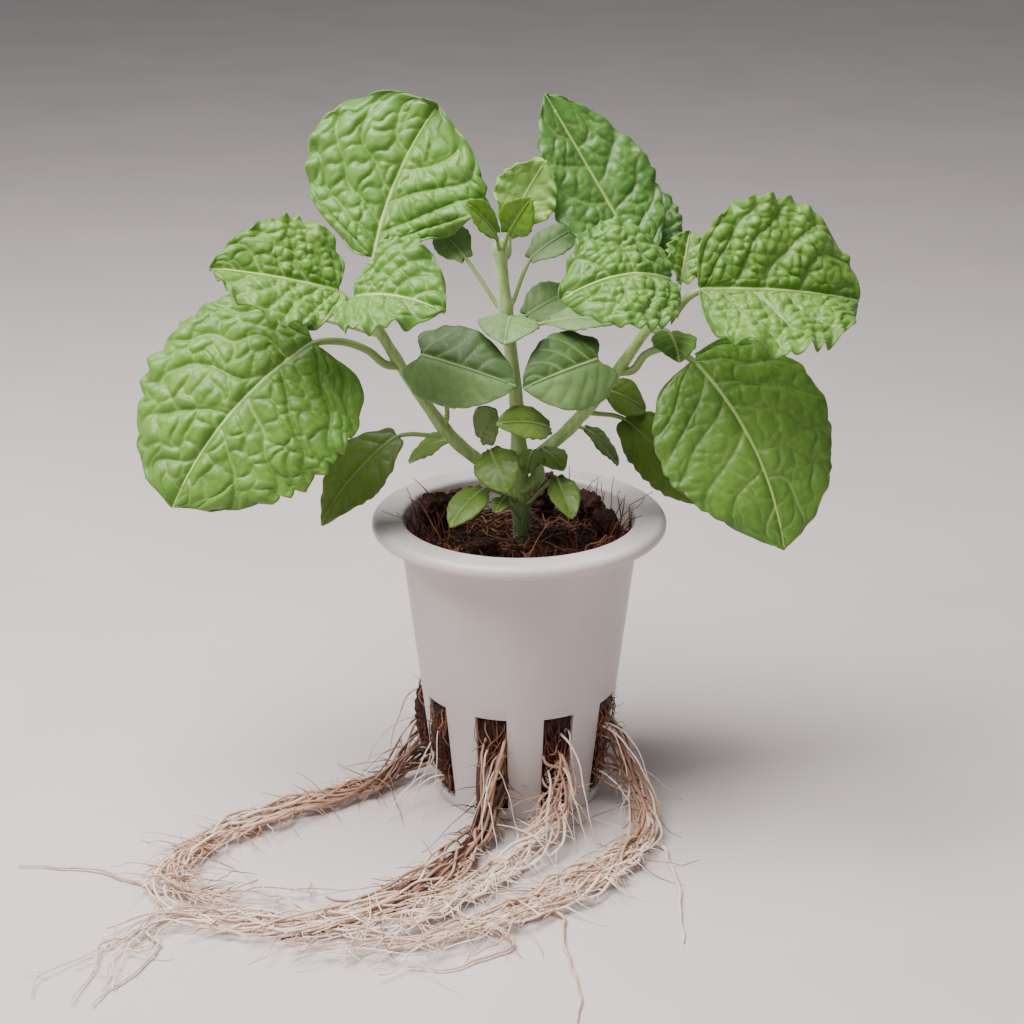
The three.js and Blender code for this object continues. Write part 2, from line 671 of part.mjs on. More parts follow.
growRoot('root_strand_right', [
  [27.5, -31, 0.9], [29, -42, 0.8], [29.5, -54, 0.7], [28, -66, 0.6],
], [0.6, 0.35], 8);
growRoot('root_strand_front', [
  [6.5, -57.5, 0.9], [6, -68, 0.8], [8.5, -80, 0.7], [7, -92, 0.6],
], [0.6, 0.35], 9);
growRoot('root_strand_front_left', [
  [-3, -67, 0.9], [-9, -71, 0.8], [-15, -74, 0.7], [-22, -73, 0.6],
], [0.6, 0.35], 8);
growRoot('root_strand_left_tip', [
  [-68.5, -63.5, 0.9], [-70, -70, 0.8], [-75, -77, 0.7], [-78, -84, 0.6],
], [0.6, 0.35], 8);
growRoot('root_strand_far_left', [
  [-71.5, -45, 0.9], [-78, -40, 0.8], [-88, -35.5, 0.7], [-100.5, -33.5, 0.6],
], [0.6, 0.35], 9);

export default plant;
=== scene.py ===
"""Looks for a young basil plant in a slotted net pot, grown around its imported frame.

The frame holds every stem, leaf and root at its real size and place, as plain sections. This script reads
those sections back, grows the fine surfaces along them and gives each one its finish. Lengths are in
millimetres until a mesh is made; MM turns them into metres.
"""

import logging
import math
from collections.abc import Callable, Iterable
from dataclasses import dataclass, field, replace
from enum import Enum

import bmesh
import bpy
import numpy as np
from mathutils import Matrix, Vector, noise


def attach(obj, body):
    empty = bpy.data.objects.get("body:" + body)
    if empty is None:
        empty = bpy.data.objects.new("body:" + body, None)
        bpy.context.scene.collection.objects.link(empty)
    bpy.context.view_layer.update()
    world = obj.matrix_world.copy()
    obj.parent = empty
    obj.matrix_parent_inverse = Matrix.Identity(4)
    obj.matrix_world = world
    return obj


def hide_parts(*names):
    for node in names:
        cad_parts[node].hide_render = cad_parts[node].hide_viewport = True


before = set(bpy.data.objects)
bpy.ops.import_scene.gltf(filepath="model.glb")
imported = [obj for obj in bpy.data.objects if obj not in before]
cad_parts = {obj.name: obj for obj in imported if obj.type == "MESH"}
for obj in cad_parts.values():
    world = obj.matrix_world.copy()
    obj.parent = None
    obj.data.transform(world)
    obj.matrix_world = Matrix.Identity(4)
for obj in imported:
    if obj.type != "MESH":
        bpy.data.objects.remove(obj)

MM = 0.001
UP = np.array([0.0, 0.0, 1.0])
FRONT = np.array([0.0, -1.0, 0.0])
FLOOR_CLEARANCE = 0.04               # the least height of any root's underside
MERGE = 1e-6                         # points this near to each other, in metres, are one point
SLIGHT = 1e-6                        # lengths in millimetres that differ by less than this are equal

LEAF_SIDES = 8                       # points round each section of a leaf, a stem and a root in the frame
STEM_SIDES = 8
ROOT_SIDES = 7
STALK_SECTIONS = 3
BLADE_STATIONS = np.array([0, 0.05, 0.16, 0.32, 0.5, 0.68, 0.84, 0.95, 1])
ACROSS = np.array([-1, -0.5, 0, 0.5, 1])
RIB_TOP = 0.22                       # the frame's groove stands this far over the blade's middle
RIB_KEEL = 0.45

MAIN_STEM = "main_stem"
STEMS = {MAIN_STEM: 5.0, "left_branch": 3.0, "right_branch": 3.0}   # and how far each reaches back
STEM_LINE_POINTS = 80                # samples of a stem's middle line

ROOT_SKIN_SIDES = 8                  # sides of a long root, a root that arches down, and anything finer
ARCH_SKIN_SIDES = 7
FINE_SKIN_SIDES = 5

Array = np.ndarray
Triple = tuple[float, float, float]
Outline = list[tuple[float, float]]
Faces = list[tuple[int, ...]]
Node = bpy.types.Node
Socket = bpy.types.NodeSocket
Tree = bpy.types.NodeTree
Material = bpy.types.Material
Mesh = bpy.types.Mesh
Piece = bpy.types.Object
logging.basicConfig(level=logging.INFO, format="%(message)s")
log = logging.getLogger("basil")


# ---------------------------------------------------------------- numbers and curves


def unit(vectors: Array) -> Array:
    """Vectors of length one, along the last axis."""
    return vectors / np.maximum(np.linalg.norm(vectors, axis=-1, keepdims=True), 1e-9)


def smooth(values: Array, stations: Array, at: Array) -> Array:
    """A cubic through values.

    Args:
        values: One row for each station.
        stations: Where the rows lie, rising.
        at: Where to read the curve.

    Returns:
        One row for each place in at.
    """
    slopes = np.gradient(values, stations, axis=0)
    low = np.clip(np.searchsorted(stations, at, side="right") - 1, 0, len(stations) - 2)
    step = stations[low + 1] - stations[low]
    t = (at - stations[low]) / step
    shape = (-1,) + (1,) * (values.ndim - 1)
    t, step = t.reshape(shape), step.reshape(shape)
    return (
        (1 + 2 * t) * (1 - t) ** 2 * values[low]
        + t * (1 - t) ** 2 * step * slopes[low]
        + t * t * (3 - 2 * t) * values[low + 1]
        + t * t * (t - 1) * step * slopes[low + 1]
    )


def softened(lines: Array, rows: float) -> Array:
    """Rounds the corners of lines that run down the rows, keeping their ends.

    Args:
        lines: One row of points for each place along the lines.
        rows: Spread of the rounding, in rows.

    Returns:
        The rounded lines.
    """
    reach = int(3 * rows) + 1
    weights = np.exp(-0.5 * (np.arange(-reach, reach + 1) / rows) ** 2)
    before = 2 * lines[:1] - lines[1:reach + 1][::-1]
    after = 2 * lines[-1:] - lines[-reach - 1:-1][::-1]
    padded = np.concatenate([before, lines, after])
    count = len(lines)
    return sum(w * padded[i:i + count] for i, w in enumerate(weights / weights.sum()))


def nearest(lines: list[Array], place: Array) -> Array:
    """The point of any of the lines that lies nearest to a place."""
    points = np.vstack(lines)
    return points[np.argmin(np.linalg.norm(points - place, axis=1))]


def along_route(points: Array, count: int) -> Array:
    """Evenly spaced points on a smooth route.

    Args:
        points: The route's own points.
        count: How many to give back.

    Returns:
        An array of count points.
    """
    travelled = np.concatenate([[0], np.cumsum(np.linalg.norm(np.diff(points, axis=0), axis=1))])
    return smooth(points, travelled / travelled[-1], np.linspace(0, 1, count))


def hashed(*keys: Array | float) -> Array:
    """Repeatable numbers from 0 to 1, one for each set of keys."""
    mixed = sum(key * prime for key, prime in zip(keys, (127.1, 311.7, 74.7)))
    return np.mod(np.sin(mixed) * 43758.5453, 1.0)


def cells(x: Array, y: Array, seed: int) -> tuple[Array, Array]:
    """An irregular pattern of cells about one unit across.

    Args:
        x: Place across.
        y: Place along.
        seed: Picks the pattern.

    Returns:
        How far inside its cell each place is, from 0 at a border to 1, and a number that is the cell's own.
    """
    column, row = np.floor(x), np.floor(y)
    closest = np.full(x.shape, 9.0)
    second = closest.copy()
    own = np.zeros(x.shape)
    for i in (-1, 0, 1):
        for j in (-1, 0, 1):
            centre_x = column + i + 0.5 + 0.7 * (hashed(column + i, row + j, seed) - 0.5)
            centre_y = row + j + 0.5 + 0.7 * (hashed(row + j, column + i, seed + 7) - 0.5)
            gap = np.hypot(x - centre_x, y - centre_y)
            closer = gap < closest
            second = np.where(closer, closest, np.minimum(second, gap))
            own = np.where(closer, hashed(column + i, row + j, seed + 3), own)
            closest = np.where(closer, gap, closest)
    return np.clip((second - closest) / 0.65, 0, 1), own


def ripple(x: Array, y: Array, size: float, seed: int) -> Array:
    """Gentle unevenness.

    Args:
        x: Place across.
        y: Place along.
        size: Width of one bump.
        seed: Picks the pattern.

    Returns:
        A number between about -1 and 1 for each place.
    """
    rng = np.random.default_rng(seed)
    total = np.zeros(np.shape(x))
    waves = 5
    for _ in range(waves):
        turn, phase = rng.uniform(0, 2 * math.pi, 2)
        pace = math.pi / size * rng.uniform(0.6, 1.5)
        total += np.sin(pace * (x * math.cos(turn) + y * math.sin(turn)) + phase)
    return total / math.sqrt(waves)


def wander(rng: np.random.Generator, count: int, bends: float) -> Array:
    """A smooth three-way drift between about -1 and 1 along count points.

    Args:
        rng: Where the drift comes from.
        count: How many points.
        bends: Roughly how often it turns back.

    Returns:
        An array of count rows.
    """
    t = np.linspace(0, 1, count)[:, None]
    total = np.zeros((count, 3))
    for weight, pace in ((1.0, 0.5), (0.6, 1.0), (0.3, 2.3)):
        phase = rng.uniform(0, 2 * math.pi, 3)
        total += weight * np.sin(2 * math.pi * pace * bends * t * rng.uniform(0.8, 1.2, 3) + phase)
    return total / 1.4


def hump(distance: Array, width: Array | float) -> Array:
    """1 where the distance is nought, fading smoothly to nought over about twice the width."""
    return np.exp(-((distance / width) ** 2))


def outward(turn: float) -> Array:
    """The level direction away from the pot's axis at an angle from the front, positive towards +X."""
    return np.array([math.sin(turn), -math.cos(turn), 0])


# ---------------------------------------------------------------- shapes and meshes


@dataclass
class Shape:
    """Points, faces and per-point values of a mesh, in millimetres."""

    points: Array
    faces: Faces
    values: dict[str, Array] = field(default_factory=dict)

    def joined(self, other: "Shape") -> "Shape":
        """This shape and another as one.

        Args:
            other: The other shape. A value that one of the two lacks is nought there.

        Returns:
            The joined shape.
        """
        shift = len(self.points)
        names = set(self.values) | set(other.values)
        values = {
            name: np.concatenate([
                self.values.get(name, np.zeros(shift)),
                other.values.get(name, np.zeros(len(other.points))),
            ])
            for name in names
        }
        moved = [tuple(corner + shift for corner in face) for face in other.faces]
        return Shape(np.vstack([self.points, other.points]), self.faces + moved, values)

    def mesh(self, name: str) -> Mesh:
        """Turns the shape into a smooth-shaded mesh.

        Args:
            name: The mesh's name.

        Returns:
            The mesh, in metres, with every per-point value as an attribute.
        """
        made = bpy.data.meshes.new(name)
        made.from_pydata((self.points * MM).tolist(), [], self.faces)
        for value_name, numbers in self.values.items():
            layer = made.attributes.new(value_name, "FLOAT", "POINT")
            layer.data.foreach_set("value", numbers.astype(np.float32))
        made.shade_smooth()
        return made


def place(name: str, mesh: Mesh, material: Material | None) -> Piece:
    """Puts a mesh in the scene as an object at the origin.

    Args:
        name: The object's name.
        mesh: Its mesh.
        material: Its finish, if it has one yet.

    Returns:
        The object.
    """
    made = bpy.data.objects.new(name, mesh)
    bpy.context.scene.collection.objects.link(made)
    if material:
        mesh.materials.clear()
        mesh.materials.append(material)
    return made


def settle(piece: Piece, slot: str, *nodes: str) -> None:
    """Rides a finished piece on the plant and hides the frame nodes that it stands for.

    Args:
        piece: The finished piece.
        slot: Not used.
        nodes: The frame nodes that it replaces.
    """
    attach(piece, "root")
    if nodes:
        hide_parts(*nodes)
    log.info("%s: %d faces", piece.name, len(piece.data.polygons))


def tube_faces(rings: int, sides: int) -> Faces:
    """The faces of a closed tube: a strip between each ring and the next, and a fan at each end.

    Args:
        rings: How many rings of points the tube has. Its two end points come after the last ring.
        sides: Points in each ring.

    Returns:
        The faces as point numbers.
    """
    faces = []
    for row in range(rings - 1):
        for i in range(sides):
            a, b = row * sides + i, row * sides + (i + 1) % sides
            faces.append((a, b, b + sides, a + sides))
    last_ring, start, end = (rings - 1) * sides, rings * sides, rings * sides + 1
    for i in range(sides):
        following = (i + 1) % sides
        faces.append((start, following, i))
        faces.append((end, last_ring + i, last_ring + following))
    return faces


def sweep(path: Array, radii: Array, sides: int, fluting: float = 0.0) -> Shape:
    """A closed tube along a path.

    Args:
        path: Its centre line.
        radii: Its radius at each point of the path.
        sides: Points round each section.
        fluting: How much four ridges stand out, as a share of the radius.

    Returns:
        The tube, with a fan at each end.
    """
    tangents = unit(np.gradient(path, axis=0))
    lead = np.cross(tangents[0], UP if abs(tangents[0][2]) < 0.9 else FRONT)
    turns = np.linspace(0, 2 * math.pi, sides, endpoint=False)
    swell = 1 + fluting * np.cos(4 * turns)
    rings = []
    for centre, along, radius in zip(path, tangents, radii):
        lead = unit(lead - along * np.dot(lead, along))
        side = np.cross(along, lead)
        rings.append(
            centre
            + radius * (swell * np.cos(turns))[:, None] * lead
            + radius * (swell * np.sin(turns))[:, None] * side
        )
    return Shape(np.vstack(rings + [path[:1], path[-1:]]), tube_faces(len(path), sides))


# ---------------------------------------------------------------- sections read from the frame


def levels(
    name: str, sides: int, start_of: Callable[[Array], float]
) -> tuple[list[list[int]], Array, list[set[int]]]:
    """Sorts a lofted node's points into its sections.

    Args:
        name: The frame node.
        sides: Points round each of its sections.
        start_of: Scores a section; the end that scores higher is the one that grows from the plant.

    Returns:
        The sections as lists of point numbers, the points in millimetres, and each point's neighbours.
    """
    copy = bmesh.new()
    copy.from_mesh(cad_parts[name].data)
    bmesh.ops.remove_doubles(copy, verts=copy.verts, dist=MERGE)
    copy.verts.index_update()
    points = np.array([tuple(vert.co) for vert in copy.verts]) / MM
    near = [{edge.other_vert(vert).index for edge in vert.link_edges} for vert in copy.verts]
    copy.free()
    hubs = [i for i, around in enumerate(near) if len(around) == sides]
    hub = max(hubs, key=lambda i: start_of(points[list(near[i])]))
    seen = {hub}
    row = [hub]
    rows = []
    while True:
        row = sorted({j for i in row for j in near[i]} - seen)
        if len(row) < sides:
            break
        seen.update(row)
        rows.append(row)
    return rows, points, near


def roundness(ring: Array) -> float:
    """Near 1 for a round section, near 0 for a flat one."""
    spread = np.linalg.svd(ring - ring.mean(0), compute_uv=False)
    return spread[1] / spread[0]


def girth(ring: Array) -> float:
    """A section's mean radius."""
    return float(np.linalg.norm(ring - ring.mean(0), axis=1).mean())


def leaf_rings(name: str) -> Array:
    """Reads a leaf node's sections.

    Args:
        name: The frame node.

    Returns:
        The sections, stalk first, each read from its groove round by the right-hand margin.
    """
    rows, points, near = levels(name, LEAF_SIDES, roundness)
    centre = points[rows[0]].mean(0)
    growing = points[rows[1]].mean(0) - centre
    groove = min(rows[0], key=lambda i: np.linalg.norm(points[i] - centre))
    aside = np.cross(growing, points[groove] - centre)
    ring = [groove, max(near[groove] & set(rows[0]), key=lambda i: aside @ (points[i] - centre))]
    while len(ring) < LEAF_SIDES:
        ring.append((near[ring[-1]] & set(rows[0]) - set(ring)).pop())
    rings = [points[ring]]
    for row in rows[1:]:
        ahead = [near[i] & set(row) for i in ring]
        ring = [(ahead[i] & ahead[i - 1]).pop() for i in range(LEAF_SIDES)]
        rings.append(points[ring])
    return np.array(rings)


def centre_line(name: str, sides: int) -> tuple[Array, Array]:
    """Reads a stem or root node.

    Args:
        name: The frame node.
        sides: Points round each of its sections.

    Returns:
        The middle and the radius of every section, thick end first.
    """
    rows, points, _ = levels(name, sides, girth)
    rings = [points[row] for row in rows]
    return np.array([ring.mean(0) for ring in rings]), np.array([girth(ring) for ring in rings])


def stem_line(name: str) -> Array:
    """A stem's middle line, finely sampled."""
    return along_route(centre_line(name, STEM_SIDES)[0], STEM_LINE_POINTS)


# ---------------------------------------------------------------- nodes


def linear(colour: str) -> tuple[float, float, float, float]:
    """A hex sRGB colour as the linear colour that shaders take."""
    channels = [int(colour[i:i + 2], 16) / 255 for i in (1, 3, 5)]
    return (*(c / 12.92 if c <= 0.04045 else ((c + 0.055) / 1.055) ** 2.4 for c in channels), 1.0)


def add_node(
    tree: Tree, kind: str, inputs: dict[str | int, object] | None = None, **settings: object
) -> Node:
    """Adds a node to a tree.

    Args:
        tree: The tree.
        kind: The node's type name.
        inputs: Values or sockets for its inputs, by name or number.
        settings: Its other properties.

    Returns:
        The node.
    """
    made = tree.nodes.new(kind)
    for name, value in settings.items():
        setattr(made, name, value)
    for key, value in (inputs or {}).items():
        if isinstance(value, Socket):
            tree.links.new(value, made.inputs[key])
        else:
            made.inputs[key].default_value = value
    return made


def mixed(tree: Tree, share: Socket | float, low: object, high: object) -> Socket:
    """A colour between two others: low where share is 0 and high where it is 1."""
    made = add_node(tree, "ShaderNodeMix", {0: share, 6: low, 7: high}, data_type="RGBA")
    return made.outputs[2]


def sums(tree: Tree, operation: str, first: Socket, second: Socket | float, third: float = 0.0) -> Socket:
    """The result of one arithmetic step; only MULTIPLY_ADD uses the third value."""
    return add_node(tree, "ShaderNodeMath", {0: first, 1: second, 2: third}, operation=operation).outputs[0]


def span(tree: Tree, value: Socket, low: float, high: float) -> Socket:
    """A value taken to 0 at low and 1 at high, and held there beyond."""
    return add_node(tree, "ShaderNodeMapRange", {0: value, 1: low, 2: high}, clamp=True).outputs[0]


def grain(tree: Tree, size: float, detail: float = 3.0, stretch: Triple = (1, 1, 1)) -> Socket:
    """Noise on the object's own coordinates.

    Args:
        tree: The material's tree.
        size: Width of its features in millimetres.
        detail: How much finer noise lies on the coarse noise.
        stretch: Scale along each axis; below 1 draws the features out.

    Returns:
        The noise, from 0 to 1.
    """
    place_in = add_node(tree, "ShaderNodeTexCoord").outputs["Object"]
    turned = add_node(tree, "ShaderNodeMapping", {"Vector": place_in, "Scale": stretch}).outputs[0]
    pattern = {"Vector": turned, "Scale": 1 / (size * MM), "Detail": detail}
    return add_node(tree, "ShaderNodeTexNoise", pattern).outputs[0]


def painted(tree: Tree, name: str) -> Socket:
    """A value that the mesh carries at its points."""
    return add_node(tree, "ShaderNodeAttribute", attribute_name=name).outputs["Fac"]


def raised(
    tree: Tree, height: Socket, distance: float, strength: float, under: Socket | None = None
) -> Socket:
    """Surface relief.

    Args:
        tree: The material's tree.
        height: The relief's height, from 0 to 1.
        distance: How far its highest point stands over its lowest, in millimetres.
        strength: How strongly it turns the light.
        under: Another relief, which this one is added to.

    Returns:
        The normal.
    """
    inputs = {"Height": height, "Distance": distance * MM, "Strength": strength}
    if under:
        inputs["Normal"] = under
    return add_node(tree, "ShaderNodeBump", inputs).outputs[0]


# ---------------------------------------------------------------- finishes


@dataclass(frozen=True)
class Finish:
    """A named finish. Each kind draws its own surface."""

    name: str

    def surface(self, tree: Tree) -> Node:
        """Draws the finish in a material's tree, and gives back its last node."""
        raise NotImplementedError

    def material(self) -> Material:
        """Makes the finish.

        Returns:
            It as a Blender material.
        """
        made = bpy.data.materials.new(self.name)
        made.use_nodes = True
        tree = made.node_tree
        tree.nodes.clear()
        output = add_node(tree, "ShaderNodeOutputMaterial")
        tree.links.new(self.surface(tree).outputs[0], output.inputs[0])
        return made


@dataclass(frozen=True)
class LeafFinish(Finish):
    """Fresh basil blade: a waxy, slightly hairy skin over thin wet tissue.

    It shines softly and lets light in. Painted shade darkens the hollows along the veins and a painted
    highlight lightens the tops of the puckers between them; on a smooth blade painted shade also darkens the
    half above the midrib. The veins themselves are pale, made brighter to paint a highlight along the midrib,
    and the underside is paler and greyer than the face.
    """

    crest_highlight: str
    blade: str
    mottle_and_painted_shade: str
    vein: str
    under: str
    glow: str
    stalk: str = "#8fa862"
    roughness: float = 0.42
    through: float = 0.2              # share of the light that passes through

    def surface(self, tree: Tree) -> Node:
        """Draws the finish in a material's tree, and gives back its last node."""
        patches = span(tree, grain(tree, 9.0, 2.0), 0.35, 0.68)
        mottle = span(tree, grain(tree, 1.3, 3.0), 0.3, 0.7)
        # Painted light: how far each pucker is raised picks the green, a painted highlight on the tops and
        # painted shade down in the creases. The patches are the blade's own uneven tone.
        height = painted(tree, "height")
        shade = sums(tree, "ADD", height, sums(tree, "MULTIPLY_ADD", patches, 0.35, 0.5))
        face = mixed(tree, span(tree, shade, 0.0, 0.5), linear(self.mottle_and_painted_shade), linear(self.blade))
        face = mixed(tree, span(tree, shade, 0.55, 1.25), face, linear(self.crest_highlight))
        # Painted shade on the half of a smooth blade that lies above the midrib.
        face = mixed(tree, painted(tree, "dusk"), face, linear(self.mottle_and_painted_shade))
        tissue = mixed(tree, sums(tree, "MULTIPLY", mottle, 0.22), face, linear(self.mottle_and_painted_shade))
        # The veins' own pale green, set brighter so that it also stands for a painted highlight along the
        # midrib.
        veined = mixed(tree, painted(tree, "vein"), tissue, linear(self.vein))
        sided = mixed(tree, sums(tree, "MULTIPLY", painted(tree, "under"), 0.75), veined, linear(self.under))
        stalked = mixed(tree, painted(tree, "stalk"), sided, linear(self.stalk))
        # The skin's cells are about 0.1 mm; they are drawn at 0.35 mm so that they show as a soft break-up.
        skin = raised(tree, grain(tree, 0.35, 2.0), 0.05, 0.35)
        relief = raised(tree, grain(tree, 1.6, 3.0), 0.18, 0.4, skin)
        shine = sums(tree, "ADD", sums(tree, "MULTIPLY", mottle, 0.12), self.roughness - 0.06)
        blade = add_node(tree, "ShaderNodeBsdfPrincipled", {
            "Base Color": stalked,
            "Roughness": shine,
            "IOR": 1.42,
            "Specular IOR Level": 0.5,
            "Normal": relief,
            "Subsurface Weight": 0.12,
            "Subsurface Radius": (0.9, 1.6, 0.4),
            "Subsurface Scale": 0.6 * MM,
            "Sheen Weight": 0.12,
            "Sheen Roughness": 0.5,
        })
        lit = mixed(tree, 0.6, stalked, linear(self.glow))
        behind = add_node(tree, "ShaderNodeBsdfTranslucent", {"Color": lit, "Normal": relief})
        return add_node(tree, "ShaderNodeMixShader", {
            0: self.through, 1: blade.outputs[0], 2: behind.outputs[0],
        })


@dataclass(frozen=True)
class StemFinish(Finish):
    """Soft green basil stem: ribbed, juicy and paler than the blades, dulled by a down of fine hairs."""

    name: str = "basil_stem_skin"
    ridge: str = "#9db573"
    flank: str = "#7e9a50"
    foot: str = "#5f7440"
    browned: str = "#6b5a3a"

    def surface(self, tree: Tree) -> Node:
        """Draws the finish in a material's tree, and gives back its last node."""
        streaks = span(tree, grain(tree, 1.2, 4.0, (1, 1, 0.15)), 0.35, 0.65)
        colour = mixed(tree, streaks, linear(self.flank), linear(self.ridge))
        colour = mixed(tree, painted(tree, "foot"), colour, linear(self.foot))
        specks = span(tree, grain(tree, 0.7, 2.0), 0.66, 0.74)
        colour = mixed(tree, sums(tree, "MULTIPLY", specks, 0.35), colour, linear(self.browned))
        relief = raised(tree, grain(tree, 0.5, 3.0, (1, 1, 0.2)), 0.12, 0.5)
        return add_node(tree, "ShaderNodeBsdfPrincipled", {
            "Base Color": colour,
            "Roughness": sums(tree, "MULTIPLY_ADD", streaks, 0.15, 0.4),
            "IOR": 1.42,
            "Normal": relief,
            "Subsurface Weight": 0.25,
            "Subsurface Radius": (0.8, 1.2, 0.3),
            "Subsurface Scale": 0.8 * MM,
            "Sheen Weight": 0.2,
        })


@dataclass(frozen=True)
class PotFinish(Finish):
    """Injection-moulded white polypropylene: satin, and milky enough to soften the light in its thin wall."""

    name: str = "moulded_white_polypropylene"
    body: str = "#d0c7c4"
    shade: str = "#c5bbb8"
    fleck: str = "#4b423f"
    fleck_at: Triple = (8.9, -19.7, 41.0)
    fleck_size: float = 0.32

    def surface(self, tree: Tree) -> Node:
        """Draws the finish in a material's tree, and gives back its last node."""
        flow = span(tree, grain(tree, 14.0, 2.0, (1, 1, 0.4)), 0.3, 0.7)
        colour = mixed(tree, flow, linear(self.body), linear(self.shade))
        place_in = add_node(tree, "ShaderNodeTexCoord").outputs["Object"]
        middle = tuple(value * MM for value in self.fleck_at)
        gap = add_node(tree, "ShaderNodeVectorMath", {0: place_in, 1: middle}, operation="DISTANCE")
        fleck = span(tree, gap.outputs["Value"], self.fleck_size * MM, 0.55 * self.fleck_size * MM)
        colour = mixed(tree, fleck, colour, linear(self.fleck))
        scuffs = span(tree, grain(tree, 3.0, 4.0), 0.4, 0.7)
        # Spark-eroded mould texture, about 0.1 mm, drawn at 0.3 mm so that it shows.
        relief = raised(tree, grain(tree, 0.3, 2.0), 0.012, 0.25)
        return add_node(tree, "ShaderNodeBsdfPrincipled", {
            "Base Color": colour,
            "Roughness": add_node(tree, "ShaderNodeMapRange", {0: scuffs, 3: 0.34, 4: 0.46}).outputs[0],
            "IOR": 1.49,
            "Normal": relief,
            "Subsurface Weight": 0.3,
            "Subsurface Radius": (1.0, 0.95, 0.9),
            "Subsurface Scale": 1.6 * MM,
        })


@dataclass(frozen=True)
class FibreFinish(Finish):
    """Fine plant strands: coir or root. Each strand keeps one tint, paler or darker than its neighbours."""

    pale: str
    middle: str
    dark: str
    roughness: float = 0.7
    juicy: float = 0.0                # share of light scattered inside a living root

    def surface(self, tree: Tree) -> Node:
        """Draws the finish in a material's tree, and gives back its last node."""
        tint = painted(tree, "tint")
        patch = sums(tree, "MULTIPLY_ADD", grain(tree, 2.2, 3.0), 0.5, -0.25)
        shade = sums(tree, "ADD", tint, patch)
        colour = mixed(tree, span(tree, shade, 0.0, 0.5), linear(self.pale), linear(self.middle))
        colour = mixed(tree, span(tree, shade, 0.5, 1.0), colour, linear(self.dark))
        return add_node(tree, "ShaderNodeBsdfPrincipled", {
            "Base Color": colour,
            "Roughness": self.roughness,
            "Normal": raised(tree, grain(tree, 0.3, 2.0), 0.05, 0.4),
            "Subsurface Weight": self.juicy,
            "Subsurface Radius": (1.0, 0.7, 0.5),
            "Subsurface Scale": 0.4 * MM,
        })


@dataclass(frozen=True)
class HuskFinish(Finish):
    """Chopped coconut husk, wet: crumbly dark red-brown pith with lighter fibres running through it."""

    pith: str = "#120604"
    flesh: str = "#2c130c"
    fibre: str = "#62301c"
    fibre_run: Triple = (1, 1, 1)

    def surface(self, tree: Tree) -> Node:
        """Draws the finish in a material's tree, and gives back its last node."""
        crumbs = grain(tree, 1.4, 5.0)
        strands = grain(tree, 0.8, 4.0, self.fibre_run)
        colour = mixed(tree, span(tree, crumbs, 0.35, 0.62), linear(self.pith), linear(self.flesh))
        colour = mixed(tree, span(tree, strands, 0.55, 0.75), colour, linear(self.fibre))
        relief = raised(tree, strands, 0.5, 0.7, raised(tree, crumbs, 0.9, 0.8))
        return add_node(tree, "ShaderNodeBsdfPrincipled", {
            "Base Color": colour,
            "Roughness": 0.86,
            "Normal": relief,
        })


class Green(Enum):
    """The plant's blade finishes, by age and light: some are darker copies of one green that paint shade on
    leaves in shadow.
    """

    SHOOT = LeafFinish(
        "basil_blade_full_grown", crest_highlight="#729c39", blade="#4b7720", mottle_and_painted_shade="#274f08", vein="#bcd878",
        under="#7c9e50", glow="#74a81c",
    )
    # Painted shade: the full-grown green, darkened for leaves that lie partly in shadow.
    HALF_SHADED = LeafFinish(
        "basil_blade_full_grown_half_shade", crest_highlight="#6b9738", blade="#44721b", mottle_and_painted_shade="#1f4506", vein="#aecb6c",
        under="#7c9e50", glow="#68991c", through=0.15,
    )
    # Painted shade: the full-grown green, darker still, for leaves at the back that lie in shadow.
    BACK = LeafFinish(
        "basil_blade_upper_back_shade", crest_highlight="#527d2e", blade="#335d16", mottle_and_painted_shade="#193a06", vein="#8fae58",
        under="#6c8e4a", glow="#5c8e1c", through=0.12,
    )
    YOUNG = LeafFinish(
        "basil_blade_young", crest_highlight="#9cc662", blade="#7caa40", mottle_and_painted_shade="#487818", vein="#bcd684",
        under="#92b45e", glow="#92be2c", through=0.25,
    )
    BRIGHT = LeafFinish(
        "basil_blade_backlit", crest_highlight="#6a9420", blade="#557f10", mottle_and_painted_shade="#3f6808", vein="#7fa233",
        under="#779a3c", glow="#74a412", through=0.35,
    )
    FACING = LeafFinish(
        "basil_blade_smooth_greyish", crest_highlight="#7a9a58", blade="#66874a", mottle_and_painted_shade="#33500f", vein="#86a364",
        under="#72905c", glow="#5a862a", roughness=0.56,
    )
    LOW = LeafFinish(
        "basil_blade_old_low", crest_highlight="#66812b", blade="#526c21", mottle_and_painted_shade="#3a5210", vein="#75903f",
        under="#62794a", glow="#4c7018", roughness=0.46,
    )


# ---------------------------------------------------------------- strands, by Geometry Nodes


def new_tree(name: str, inputs: dict[str, str]) -> tuple[Tree, Node, Node]:
    """A Geometry Nodes tree.

    Args:
        name: Its name.
        inputs: The socket type of each named input.

    Returns:
        The tree, its input node and its output node.
    """
    tree = bpy.data.node_groups.new(name, "GeometryNodeTree")
    tree.interface.new_socket("Geometry", in_out="INPUT", socket_type="NodeSocketGeometry")
    for label, kind in inputs.items():
        tree.interface.new_socket(label, in_out="INPUT", socket_type=kind)
    tree.interface.new_socket("Geometry", in_out="OUTPUT", socket_type="NodeSocketGeometry")
    return tree, add_node(tree, "NodeGroupInput"), add_node(tree, "NodeGroupOutput")


def end_tree(tree: Tree, geometry: Socket, given: Node, out: Node) -> None:
    """Ends a tree by making its copies real and giving them the finish.

    Args:
        tree: The tree.
        geometry: What it has made.
        given: Its input node.
        out: Its output node.
    """
    real = add_node(tree, "GeometryNodeRealizeInstances", {0: geometry})
    dressed = add_node(tree, "GeometryNodeSetMaterial", {
        0: real.outputs[0], "Material": given.outputs["Finish"],
    })
    tree.links.new(dressed.outputs[0], out.inputs[0])


